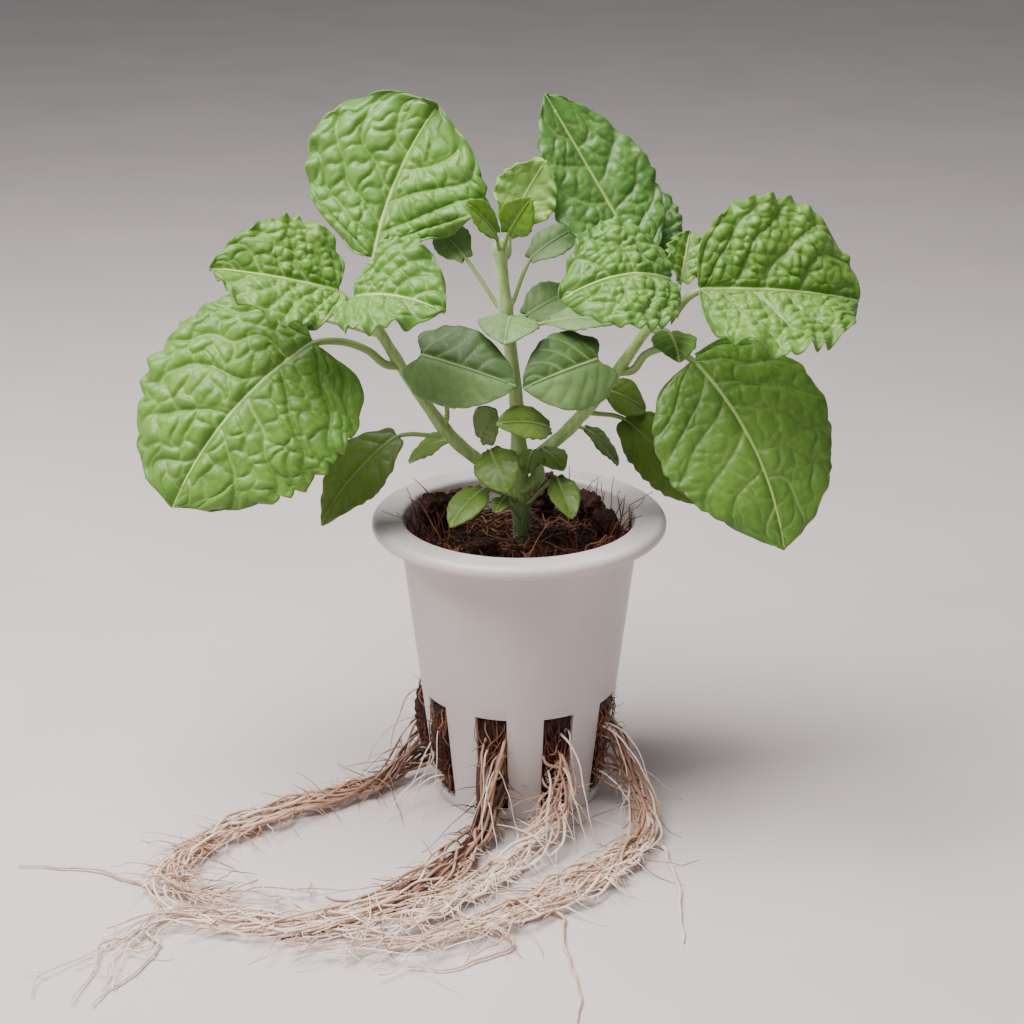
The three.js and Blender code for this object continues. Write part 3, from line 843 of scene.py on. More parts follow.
def strand_tree() -> Tree:
    """Skins loose polylines as closed strands whose radius is each point's own width value.

    Returns:
        The tree, with inputs for the strands' sides and finish.
    """
    tree, given, out = new_tree("strand_skin", {"Sides": "NodeSocketInt", "Finish": "NodeSocketMaterial"})
    curves = add_node(tree, "GeometryNodeMeshToCurve", {"Mesh": given.outputs["Geometry"]})
    section = add_node(tree, "GeometryNodeCurvePrimitiveCircle", {
        "Resolution": given.outputs["Sides"], "Radius": 1.0,
    })
    width = add_node(tree, "GeometryNodeInputNamedAttribute", {"Name": "width"}, data_type="FLOAT")
    skin = add_node(tree, "GeometryNodeCurveToMesh", {
        "Curve": curves.outputs[0], "Profile Curve": section.outputs[0], "Scale": width.outputs[0],
        "Fill Caps": True,
    })
    soft = add_node(tree, "GeometryNodeSetShadeSmooth", {0: skin.outputs[0]})
    end_tree(tree, soft.outputs[0], given, out)
    return tree


def down_tree() -> Tree:
    """Covers a surface with short standing hairs of uneven length and lean.

    Returns:
        The tree, with inputs for the hairs' sizes, lean, seed and finish.
    """
    tree, given, out = new_tree("stem_down", {
        "Density": "NodeSocketFloat", "Length": "NodeSocketFloat", "Thickness": "NodeSocketFloat",
        "Lean": "NodeSocketFloat", "Seed": "NodeSocketInt", "Finish": "NodeSocketMaterial",
    })
    lean, seed = given.outputs["Lean"], given.outputs["Seed"]
    spots = add_node(tree, "GeometryNodeDistributePointsOnFaces", {
        "Mesh": given.outputs["Geometry"], "Density": given.outputs["Density"], "Seed": seed,
    })
    hair = add_node(tree, "GeometryNodeMeshCone", {
        "Vertices": 3, "Radius Top": 0.00001, "Radius Bottom": given.outputs["Thickness"],
        "Depth": given.outputs["Length"],
    })
    # Each hair leans by up to the given angle both ways, and turns nearly half round its own axis both ways.
    most = add_node(tree, "ShaderNodeCombineXYZ", {0: lean, 1: lean, 2: 3.1}).outputs[0]
    least = add_node(tree, "ShaderNodeVectorMath", {0: most, 1: (-1, -1, -1)}, operation="MULTIPLY")
    angles = add_node(tree, "FunctionNodeRandomValue", {
        0: least.outputs[0], 1: most, 8: seed,
    }, data_type="FLOAT_VECTOR")
    tilt = add_node(tree, "FunctionNodeEulerToRotation", {0: angles.outputs[0]})
    turned = add_node(tree, "FunctionNodeRotateRotation", {
        0: spots.outputs["Rotation"], 1: tilt.outputs[0],
    }, rotation_space="LOCAL")
    size = add_node(tree, "FunctionNodeRandomValue", {2: 0.4, 3: 1.2, 8: seed}, data_type="FLOAT")
    hairs = add_node(tree, "GeometryNodeInstanceOnPoints", {
        "Points": spots.outputs[0], "Instance": hair.outputs[0], "Rotation": turned.outputs[0],
        "Scale": size.outputs[1],
    })
    end_tree(tree, hairs.outputs[0], given, out)
    return tree


def grown(name: str, mesh: Mesh, tree: Tree, inputs: dict[str, object]) -> Piece:
    """Runs a Geometry Nodes tree on a mesh.

    Args:
        name: The new object's name.
        mesh: What the tree starts from.
        tree: The tree.
        inputs: Values for its named inputs.

    Returns:
        An object whose plain mesh is the tree's result.
    """
    made = place(name, mesh, None)
    modifier = made.modifiers.new(tree.name, "NODES")
    modifier.node_group = tree
    for item in tree.interface.items_tree:
        if item.in_out == "INPUT" and item.name in inputs:
            modifier[item.identifier] = inputs[item.name]
    seen = bpy.context.evaluated_depsgraph_get()
    result = bpy.data.meshes.new_from_object(
        made.evaluated_get(seen), preserve_all_data_layers=True, depsgraph=seen
    )
    made.modifiers.clear()
    made.data = result
    result.name = name
    return made


@dataclass
class Strand:
    """One fibre or root: its route, its radius along it, and its tint from 0, pale, to 1, dark."""

    path: Array
    width: Array
    tint: Array


def even_strand(path: Array, thick: float, thin: float, tint: float) -> Strand:
    """A strand that tapers from thick to thin and keeps one tint."""
    return Strand(path, np.linspace(thick, thin, len(path)), np.full(len(path), tint))


def above_floor(path: Array, radius: Array) -> Array:
    """Keeps a route out of the surface that the pot stands on.

    Args:
        path: The route.
        radius: The strand's radius at each of its points.

    Returns:
        The same route, lifted where it would sink in.
    """
    lifted = path.copy()
    lifted[:, 2] = np.maximum(lifted[:, 2], radius + FLOOR_CLEARANCE)
    return lifted


def skin_strands(name: str, strands: list[Strand], sides: int, material: Material, tree: Tree) -> Piece:
    """Makes one piece of many strands.

    Args:
        name: The piece's name.
        strands: The strands.
        sides: Sides of each strand's skin.
        material: Their finish.
        tree: The Geometry Nodes tree that skins them.

    Returns:
        The piece.
    """
    counts = [len(strand.path) for strand in strands]
    starts = np.cumsum([0, *counts[:-1]])
    edges = [
        (start + i, start + i + 1) for start, count in zip(starts, counts) for i in range(count - 1)
    ]
    mesh = bpy.data.meshes.new(name + "_routes")
    mesh.from_pydata((np.vstack([strand.path for strand in strands]) * MM).tolist(), edges, [])
    for label, numbers in (
        ("width", np.concatenate([strand.width for strand in strands]) * MM),
        ("tint", np.concatenate([strand.tint for strand in strands])),
    ):
        layer = mesh.attributes.new(label, "FLOAT", "POINT")
        layer.data.foreach_set("value", numbers.astype(np.float32))
    return grown(name, mesh, tree, {"Sides": sides, "Finish": material})


# ---------------------------------------------------------------- leaves


@dataclass(frozen=True)
class Pucker:
    """How a basil blade domes between its veins and how its margin is cut, in millimetres."""

    laterals: float = 6.0             # side veins on each half
    dome: float = 1.1                 # height of the blade between two side veins
    cell: float = 4.2                 # length of one pucker along the strip between them
    ranks: int = 1                    # puckers side by side across the strip
    lobe: float = 1.2                 # how far the blade's base bulges back past the stalk
    crinkle: float = 0.0              # height of the small close puckers
    crinkle_size: float = 1.9
    crinkle_reach: float = 1.0        # share of the blade, from its base, that has them
    tooth: float = 0.8                # depth of the teeth
    tooth_spacing: float = 4.4
    curl: float = 0.45                # how far the margin rolls up and down from tooth to tooth
    wave: float = 0.5                 # how far the margin flutters
    waves: float = 2.5
    lean: float = 0.45                # how far a side vein runs forward for its run outwards
    dusk: float = 0.0                 # how much painted shade darkens the half of the blade above the midrib
    step: float = 0.32                # size of one face
    seed: int = 1
    finish: Green = Green.SHOOT


BIG = Pucker(dome=1.8, cell=3.9, tooth=1.2, tooth_spacing=4.3)
CRINKLED = Pucker(
    laterals=5.5, dome=1.3, cell=2.7, crinkle=0.5, crinkle_size=1.9, crinkle_reach=0.75, tooth=1.0,
    tooth_spacing=3.0, curl=0.8, wave=0.9, waves=3.5, step=0.25,
)
SMOOTH = Pucker(
    laterals=4.5, dome=0.3, cell=5.0, tooth=0.25, tooth_spacing=3.0, curl=0.15, wave=0.35, waves=1.5,
    lobe=2.4, dusk=0.9, finish=Green.FACING,
)
LOW = Pucker(
    laterals=4.5, dome=0.35, cell=4.0, tooth=0.4, tooth_spacing=3.2, curl=0.25, wave=0.4, waves=1.5,
    finish=Green.LOW,
)
SMALL = Pucker(
    laterals=4.0, dome=0.2, cell=2.5, tooth=0.22, tooth_spacing=1.9, curl=0.12, wave=0.2, waves=1.5,
    step=0.26, finish=Green.LOW,
)

STALKED = replace(SMALL, finish=Green.FACING)
BACKLIT = replace(SMALL, tooth=0.3, finish=Green.BRIGHT)

LEAVES: dict[str, Pucker] = {
    "left_big_drooping_leaf": replace(
        BIG, laterals=4.6, ranks=2, crinkle=0.1, crinkle_size=1.6, lobe=3.2, tooth=1.7,
    ),
    "left_upper_back_leaf": replace(
        BIG, laterals=4.2, dome=1.7, cell=3.0, lean=0.6, crinkle=0.1, curl=1.0, wave=0.8, tooth_spacing=5.5,
        finish=Green.HALF_SHADED,
    ),
    "left_crinkled_outer_leaf": replace(CRINKLED, dome=1.2),
    "left_crinkled_inner_leaf": replace(CRINKLED, crinkle=0.3, finish=Green.HALF_SHADED),
    "left_shaded_back_leaf": replace(BIG, laterals=4.5, dome=1.0, finish=Green.BACK),
    "left_low_outer_leaf": LOW,
    "left_low_narrow_leaf": SMALL,
    "left_inner_facing_leaf": SMOOTH,
    "right_big_outer_leaf": replace(
        CRINKLED, laterals=4.6, dome=1.6, cell=2.9, crinkle=0.45, crinkle_size=2.2, crinkle_reach=1.1,
        tooth=1.5, tooth_spacing=3.9, curl=1.1, wave=1.0,
    ),
    "right_crinkled_inner_leaf": replace(
        CRINKLED, laterals=4.0, cell=2.8, crinkle=0.55, crinkle_size=2.2, crinkle_reach=0.9, wave=0.5,
        finish=Green.HALF_SHADED,
    ),
    "right_tall_back_leaf": replace(
        BIG, laterals=5.0, dome=1.0, cell=3.0, crinkle=0.2, tooth=0.6, wave=0.5, finish=Green.BACK,
    ),
    "right_small_back_leaf": replace(
        CRINKLED, laterals=4.0, dome=0.5, cell=2.2, crinkle=0.2, crinkle_size=1.4, tooth=0.4,
        tooth_spacing=2.2, wave=0.4, finish=Green.BACK,
    ),
    "right_big_drooping_leaf": replace(
        BIG, laterals=5.5, dome=1.05, cell=3.8, crinkle=0.12, tooth=0.9, tooth_spacing=5.2,
    ),
    "right_under_leaf": replace(SMALL, tooth=0.3, finish=Green.SHOOT),
    "right_young_leaf": replace(
        CRINKLED, laterals=4.0, dome=0.4, cell=1.6, crinkle=0.3, crinkle_size=1.2, tooth=0.4,
        tooth_spacing=1.8, wave=0.5, step=0.22,
    ),
    "right_low_outer_leaf": LOW,
    "right_low_upper_leaf": SMALL,
    "right_low_narrow_leaf": SMALL,
    "right_inner_facing_leaf": SMOOTH,
    "centre_top_leaf": replace(
        CRINKLED, laterals=4.0, dome=0.3, cell=2.0, crinkle=0.1, crinkle_size=1.4, tooth=0.45,
        tooth_spacing=2.2, wave=0.7, waves=4.5, finish=Green.YOUNG,
    ),
    "centre_bright_left_leaf": BACKLIT,
    "centre_bright_right_leaf": BACKLIT,
    "centre_left_stalked_leaf": STALKED,
    "centre_right_stalked_leaf": STALKED,
    "centre_front_leaf": replace(STALKED, tooth=0.2),
    "centre_back_leaf": STALKED,
    "centre_side_leaf": STALKED,
    "left_axil_upright_leaf": SMALL,
    "left_axil_drooping_leaf": SMALL,
    "right_axil_leaf": SMALL,
    "base_leaf_left": SMALL,
    "base_leaf_right": SMALL,
    "base_leaf_drooping_left": SMALL,
    "base_leaf_drooping_right": SMALL,
    "base_leaf_curled": SMALL,
}

LEAF_SLOTS = {
    Green.SHOOT: "leaf_shoot",
    Green.HALF_SHADED: "leaf_shoot",
    Green.BACK: "leaf_shoot",
    Green.YOUNG: "leaf_young",
    Green.BRIGHT: "leaf_young",
    Green.FACING: "leaf_low",
    Green.LOW: "leaf_low",
}


@dataclass
class Leaf:
    """A blade and its stalk, grown along the frame's sections."""

    name: str
    pucker: Pucker
    stems: list[Array]                # centre lines of the stems that it may grow from
    thickness: float = 0.3
    rounding: float = 1.1             # radius to which corners of the outline are softened
    stalk_sides: int = 12

    def controls(self, rings: Array) -> Array:
        """Reads the blade's middle surface.

        Args:
            rings: The leaf's sections, stalk first.

        Returns:
            For each section of the blade, its left margin, left half, midrib, right half and right margin.
        """
        blade = rings[STALK_SECTIONS:]
        middle = blade[:, 0] + (blade[:, 4] - blade[:, 0]) * RIB_TOP / (RIB_TOP + RIB_KEEL)
        right, left = (blade[:, 1] + blade[:, 3]) / 2, (blade[:, 5] + blade[:, 7]) / 2
        return np.stack([blade[:, 6], left, middle, right, blade[:, 2]], axis=1)

    def relief(self, s: Array, u: Array, length: float, half: Array) -> tuple[Array, Array, Array]:
        """How the blade leaves its plain surface.

        Args:
            s: Share of the way from base to tip.
            u: Place across, from -1 at the left margin to 1 at the right.
            length: The blade's length.
            half: Its half-width at each place.

        Returns:
            The height over the plain surface, how strongly a vein shows, and a share for the colour.
        """
        look = self.pucker
        v, right = np.abs(u), (u > 0).astype(float)
        reach = v * half
        along, over = s * length, u * half
        # Side veins run outwards and forwards. Phase counts those passed; across is the place between two.
        slim = half.max() / length
        crossing = s - slim * (look.lean * v + 0.55 * look.lean * v * v)
        phase = look.laterals * (1.25 * crossing - 0.25 * crossing * np.abs(crossing))
        phase = phase + 0.4 * right + 0.13 * ripple(along, over, 6.0, look.seed)
        strip = np.floor(phase)
        across = phase - strip
        spacing = length / look.laterals * 0.85
        vein_gap = np.minimum(across, 1 - across) * spacing
        lateral = hump(vein_gap, 0.26) * (1 - 0.75 * v ** 2)
        # The strip between two veins billows up, and cells across it split it into puckers.
        billow = np.maximum(1 - np.abs(2 * across - 1) ** 2.4, 0) ** 0.6
        slope = 1.5 * look.lean
        run = math.hypot(1, slope)
        rows = (reach + slope * along) / run / look.cell
        rows = rows + 3 * hashed(strip, right, look.seed) + 0.2 * ripple(along, over, 3.0, look.seed + 2)
        columns = phase * look.ranks + 40 * right
        inside, own = cells(columns, rows, look.seed)
        puffed = np.sin(inside * math.pi / 2) ** 0.8
        rib_fade = 1 - hump(reach, 1.1)
        rim_fade = 1 - 0.75 * v ** 8
        tip_fade = np.clip(np.sin(math.pi * np.clip(s, 0, 1)), 0, 1) ** 0.3
        share = billow * (0.3 + 0.7 * puffed * (0.5 + 0.5 * own)) * rib_fade * rim_fade * tip_fade
        height = look.dome * share
        if look.crinkle:
            fine, size = cells(along / look.crinkle_size, over / look.crinkle_size, look.seed + 5)
            near_base = np.clip((look.crinkle_reach - s) / 0.35, 0, 1)
            bumps = np.sin(fine * math.pi / 2) * (0.5 + size) * near_base * rib_fade * (1 - 0.6 * lateral)
            height = height + look.crinkle * bumps * rim_fade
            share = share * 0.65 + 0.35 * bumps * near_base
        # The margin rolls from tooth to tooth and flutters. Veins lie low, the midrib as a ridge in a groove.
        beat = 2 * math.pi * along / look.tooth_spacing + 2 * ripple(along, over, 9.0, look.seed + 3)
        height = height + look.curl * np.sin(beat) * v ** 7
        flutter = np.sin(2 * math.pi * look.waves * s + 2.4 * right + look.seed) * v ** 3
        height = height + look.wave * (flutter + 0.6 * ripple(along, over, 7.0, look.seed + 1) * v)
        height = height - 0.1 * look.dome * lateral - 0.2 * hump(reach, 0.8)
        height = height + 0.16 * hump(reach, 0.3) * (1 - 0.8 * s)
        midrib = hump(reach, 0.34 - 0.2 * s)
        network = 0.35 * np.clip(1 - 3 * inside, 0, 1) ** 2 * (1 - v ** 4) * billow
        vein = np.maximum.reduce([midrib, 0.6 * lateral, network])
        return height, vein, share

    def blade(self, controls: Array) -> Shape:
        """The blade as one closed skin with a thin cut margin.

        Args:
            controls: Its middle surface, as read from the frame.

        Returns:
            The blade.
        """
        look = self.pucker
        length = float(np.linalg.norm(np.diff(controls[:, 2], axis=0), axis=1).sum())
        widest = float(np.linalg.norm(controls[:, 4] - controls[:, 0], axis=1).max())
        rows, columns = max(16, int(length / look.step)), max(12, int(widest / look.step))
        even = np.linspace(0, 1, rows)
        share = 0.7 * even + 0.3 * (1 - np.cos(math.pi * even)) / 2
        side = np.linspace(-1, 1, columns)
        lines = softened(smooth(controls, BLADE_STATIONS, share), self.rounding / look.step)
        # The base bulges back past the stalk, and the tip is drawn to a point.
        backwards = -unit(np.gradient(lines[:, 2], axis=0))[:, None]
        bulge = look.lobe * np.sin(math.pi * np.clip(share / 0.08, 0, 1))[:, None, None]
        lines = lines + backwards * bulge * (ACROSS ** 2)[:, None]
        middle = lines[:, 2:3]
        point = np.clip((1 - share) / 0.05, 0, 1)[:, None, None] ** 0.6
        lines = middle + (lines - middle) * (0.15 + 0.85 * point)
        surface = smooth(lines.transpose(1, 0, 2), ACROSS, side).transpose(1, 0, 2)
        s, u = np.meshgrid(share, side, indexing="ij")
        half = np.linalg.norm(lines[:, 4] - lines[:, 0], axis=1)[:, None] / 2 * np.ones_like(s)
        # Each tooth rises slowly towards the tip and is cut back sharply.
        leftwards, rightwards = lines[:, 0:1] - lines[:, 1:2], lines[:, 4:5] - lines[:, 3:4]
        outwards = unit(np.where((u < 0)[..., None], leftwards, rightwards))
        unevenness = 0.35 * ripple(s * length, u * 3, 8.0, look.seed + 4)
        beat = s * length / look.tooth_spacing + 0.4 * (u > 0) + unevenness
        notch = np.mod(beat, 1.0)
        tooth = np.minimum(notch / 0.7, (1 - notch) / 0.3) ** 0.6
        depth = look.tooth * (0.5 + hashed(np.floor(beat), (u > 0) * 1.0, look.seed)) * (tooth - 0.6)
        depth = depth * np.clip(np.sin(math.pi * s), 0, 1) ** 0.4
        surface = surface + outwards * (depth * np.abs(u) ** 7)[..., None]
        height, vein, share_up = self.relief(s, u, length, half)
        normal = self.normals(surface)
        surface = surface + normal * height[..., None]
        normal = self.normals(surface)
        ridge = 0.3 * hump(np.abs(u) * half, 0.7)
        top = surface + normal * self.thickness / 2
        bottom = surface - normal * (self.thickness / 2 + ridge * (1 - s) + 0.2 * vein)[..., None]
        # Painted shade: the half of the blade that lies higher, above the midrib, is darkened.
        upper_side = 1.0 if lines[rows // 2, 4, 2] > lines[rows // 2, 0, 2] else -1.0
        dusk = look.dusk * np.clip(0.5 + upper_side * np.abs(half) * u / 0.5, 0, 1)
        return self.closed(top, bottom, {"vein": vein, "height": share_up, "dusk": dusk})

    @staticmethod
    def normals(surface: Array) -> Array:
        """Unit normals of a grid of points, towards the blade's upper side."""
        return unit(np.cross(np.gradient(surface, axis=1), np.gradient(surface, axis=0)))

    @staticmethod
    def closed(top: Array, bottom: Array, painted_on: dict[str, Array]) -> Shape:
        """Joins two grids along their shared margin.

        Args:
            top: The upper side's points, row by row.
            bottom: The underside's.
            painted_on: Values at the grids' points.

        Returns:
            The closed skin, with those values and "under", which is 1 on the underside.
        """
        rows, columns = top.shape[:2]
        upper = np.arange(rows * columns).reshape(rows, columns)
        lower = upper.copy()
        inner = (slice(1, -1), slice(1, -1))
        lower[inner] = rows * columns + np.arange((rows - 2) * (columns - 2)).reshape(rows - 2, columns - 2)
        rim = np.ones((rows, columns), bool)
        rim[inner] = False
        joined = np.where(rim[..., None], (top + bottom) / 2, top)
        points = np.vstack([joined.reshape(-1, 3), bottom[inner].reshape(-1, 3)])
        tips = set(upper[[0, 0, -1, -1], [0, -1, 0, -1]].tolist())
        faces = []
        for grid, turned in ((upper, False), (lower, True)):
            corners = [grid[:-1, :-1], grid[:-1, 1:], grid[1:, 1:], grid[1:, :-1]]
            quads = np.stack(corners[::-1] if turned else corners, axis=-1).reshape(-1, 4)
            for quad in quads.tolist():
                if tips.isdisjoint(quad):
                    faces.append(tuple(quad))
                    continue
                # Cut from the tip inwards, so that the two sides of the blade share no edge but the margin.
                first = next(i for i, vert in enumerate(quad) if vert in tips)
                tip, second, across, last = quad[first:] + quad[:first]
                faces += [(tip, second, across), (tip, across, last)]
        values = {
            name: np.concatenate([grid.ravel(), grid[inner].ravel()]) for name, grid in painted_on.items()
        }
        values["under"] = np.concatenate([np.zeros(rows * columns), np.ones((rows - 2) * (columns - 2))])
        return Shape(points, faces, values)

    def stalk(self, rings: Array, controls: Array) -> Shape:
        """The stalk, from inside the stem, and the midrib that carries it on under the blade.

        Args:
            rings: The leaf's sections, stalk first.
            controls: The blade's middle surface.

        Returns:
            The closed tube.
        """
        centres = rings[:STALK_SECTIONS].mean(1)
        radius = girth(rings[0])
        into = nearest(self.stems, centres[0] - 1.8 * unit(centres[1] - centres[0]))
        shares = np.linspace(0.02, 0.9, 12)
        lines = smooth(controls, BLADE_STATIONS, shares)
        lift = unit(np.cross(lines[:, 3] - lines[:, 1], np.gradient(lines[:, 2], axis=0)))
        rib = radius * (0.85 - 0.62 * shares)
        under = lines[:, 2] - lift * (rib - 0.16)[:, None]
        route = np.vstack([into, centres, under])
        widths = np.concatenate([[radius * 1.25, radius * 1.1], np.full(STALK_SECTIONS - 1, radius), rib])
        count = max(24, int(np.linalg.norm(np.diff(route, axis=0), axis=1).sum() / 0.6))
        path = along_route(route, count)
        width = np.clip(along_route(np.column_stack([route, widths]), count)[:, 3], 0.12, None)
        tube = sweep(path, width, self.stalk_sides, fluting=0.03)
        free = np.linalg.norm(path - lines[0, 2], axis=1)
        on_blade = np.arange(count) > int(np.argmin(free))
        fade = np.where(on_blade, np.clip(1 - free / 4, 0, 1), 1.0)
        ring_value = np.repeat(fade, self.stalk_sides)
        values = np.concatenate([ring_value, [1.0, fade[-1]]])
        return Shape(tube.points, tube.faces, {"stalk": values, "vein": np.ones(len(values))})

    def build(self, material: Material) -> None:
        """Makes the leaf and puts it in place of its frame node.

        Args:
            material: The finish of its age, or a darker copy of it that paints shade.
        """
        rings = leaf_rings(self.name)
        controls = self.controls(rings)
        shape = self.blade(controls).joined(self.stalk(rings, controls))
        piece = place(self.name + "_blade", shape.mesh(self.name), material)
        settle(piece, LEAF_SLOTS[self.pucker.finish], self.name)


@dataclass
class Foliage:
    """All the leaves, each with a pattern of its own."""

    leaves: dict[str, Pucker] = field(default_factory=lambda: LEAVES)
    first_seed: int = 3

    def build(self) -> None:
        """Makes every leaf in the finish of its age, or in a darker copy of it that paints shade."""
        finishes = {green: green.value.material() for green in Green}
        stems = [stem_line(name) for name in STEMS]
        for number, (name, pucker) in enumerate(self.leaves.items()):
            own = replace(pucker, seed=self.first_seed + 2 * number)
            Leaf(name, own, stems).build(finishes[own.finish])


# ---------------------------------------------------------------- stems


@dataclass
class Stems:
    """The main stem and its two branches: four-ribbed, swollen where leaves leave them, and downy."""

    sides: int = 24
    step: float = 0.5
    fluting: float = 0.06
    swelling: float = 0.22
    swelling_length: float = 1.6
    joint_reach: float = 3.2          # a stalk that starts this near to a stem grows from it
    tip_length: float = 0.8
    foot_height: float = 68.0         # the stem darkens below this
    foot_depth: float = 10.0
    hair_length: float = 0.75
    hair_thickness: float = 0.028
    hairs_each_mm2: float = 1.3
    hair_lean: float = 0.6

    def nodes_on(self, path: Array) -> Array:
        """Finds the joints of a stem.

        Args:
            path: The stem's middle line.

        Returns:
            The shares of the path at which a leaf or branch leaves it.
        """
        starts = [leaf_rings(name)[0].mean(0) for name in LEAVES]
        starts += [centre_line(name, STEM_SIDES)[0][0] for name in STEMS if name != MAIN_STEM]
        gaps = np.linalg.norm(path[None] - np.array(starts)[:, None], axis=2)
        close = gaps.min(axis=1) < self.joint_reach
        return gaps.argmin(axis=1)[close] / (len(path) - 1)

    def stem(self, name: str, into: float) -> Shape:
        """One stem as a closed tube.

        Args:
            name: Its frame node.
            into: How far it reaches back past the node's thick end.

        Returns:
            The tube.
        """
        centres, radii = centre_line(name, STEM_SIDES)
        start = centres[0] - unit(centres[1] - centres[0]) * into
        if name != MAIN_STEM:
            start = nearest([stem_line(MAIN_STEM)], start)
        tip = centres[-1] + unit(centres[-1] - centres[-2]) * self.tip_length
        centres = np.vstack([start, centres, tip])
        radii = np.concatenate([[radii[0] * 1.1], radii, [radii[-1] * 0.5]])
        length = np.linalg.norm(np.diff(centres, axis=0), axis=1).sum()
        count = int(length / self.step)
        smoothed = along_route(np.column_stack([centres, radii]), count)
        path, radius = smoothed[:, :3], smoothed[:, 3]
        share = np.linspace(0, 1, count)
        for where in self.nodes_on(path):
            gap = (share - where) * length
            radius = radius * (1 + self.swelling * 0.5 * hump(gap, self.swelling_length))
        limit = smoothed[:, 3] * (1 + self.swelling)
        tube = sweep(path, np.minimum(radius, limit), self.sides, fluting=self.fluting)
        foot = np.clip((self.foot_height - tube.points[:, 2]) / self.foot_depth, 0, 1)
        return Shape(tube.points, tube.faces, {"foot": foot})

    def build(self) -> None:
        """Makes the stems and their hairs."""
        finish = StemFinish().material()
        hair_finish = FibreFinish(
            "stem_down_hair", pale="#d4dfc0", middle="#c2d0a8", dark="#a9ba8a",
        ).material()
        down = down_tree()
        for seed, (name, into) in enumerate(STEMS.items(), 1):
            piece = place(name + "_skin", self.stem(name, into).mesh(name), finish)
            settle(piece, "stem", name)
            hairs = grown(name + "_down", piece.data.copy(), down, {
                "Density": self.hairs_each_mm2 / MM ** 2, "Length": self.hair_length * MM,
                "Thickness": self.hair_thickness * MM, "Lean": self.hair_lean, "Seed": seed,
                "Finish": hair_finish,
            })
            settle(hairs, "stem")


# ---------------------------------------------------------------- pot


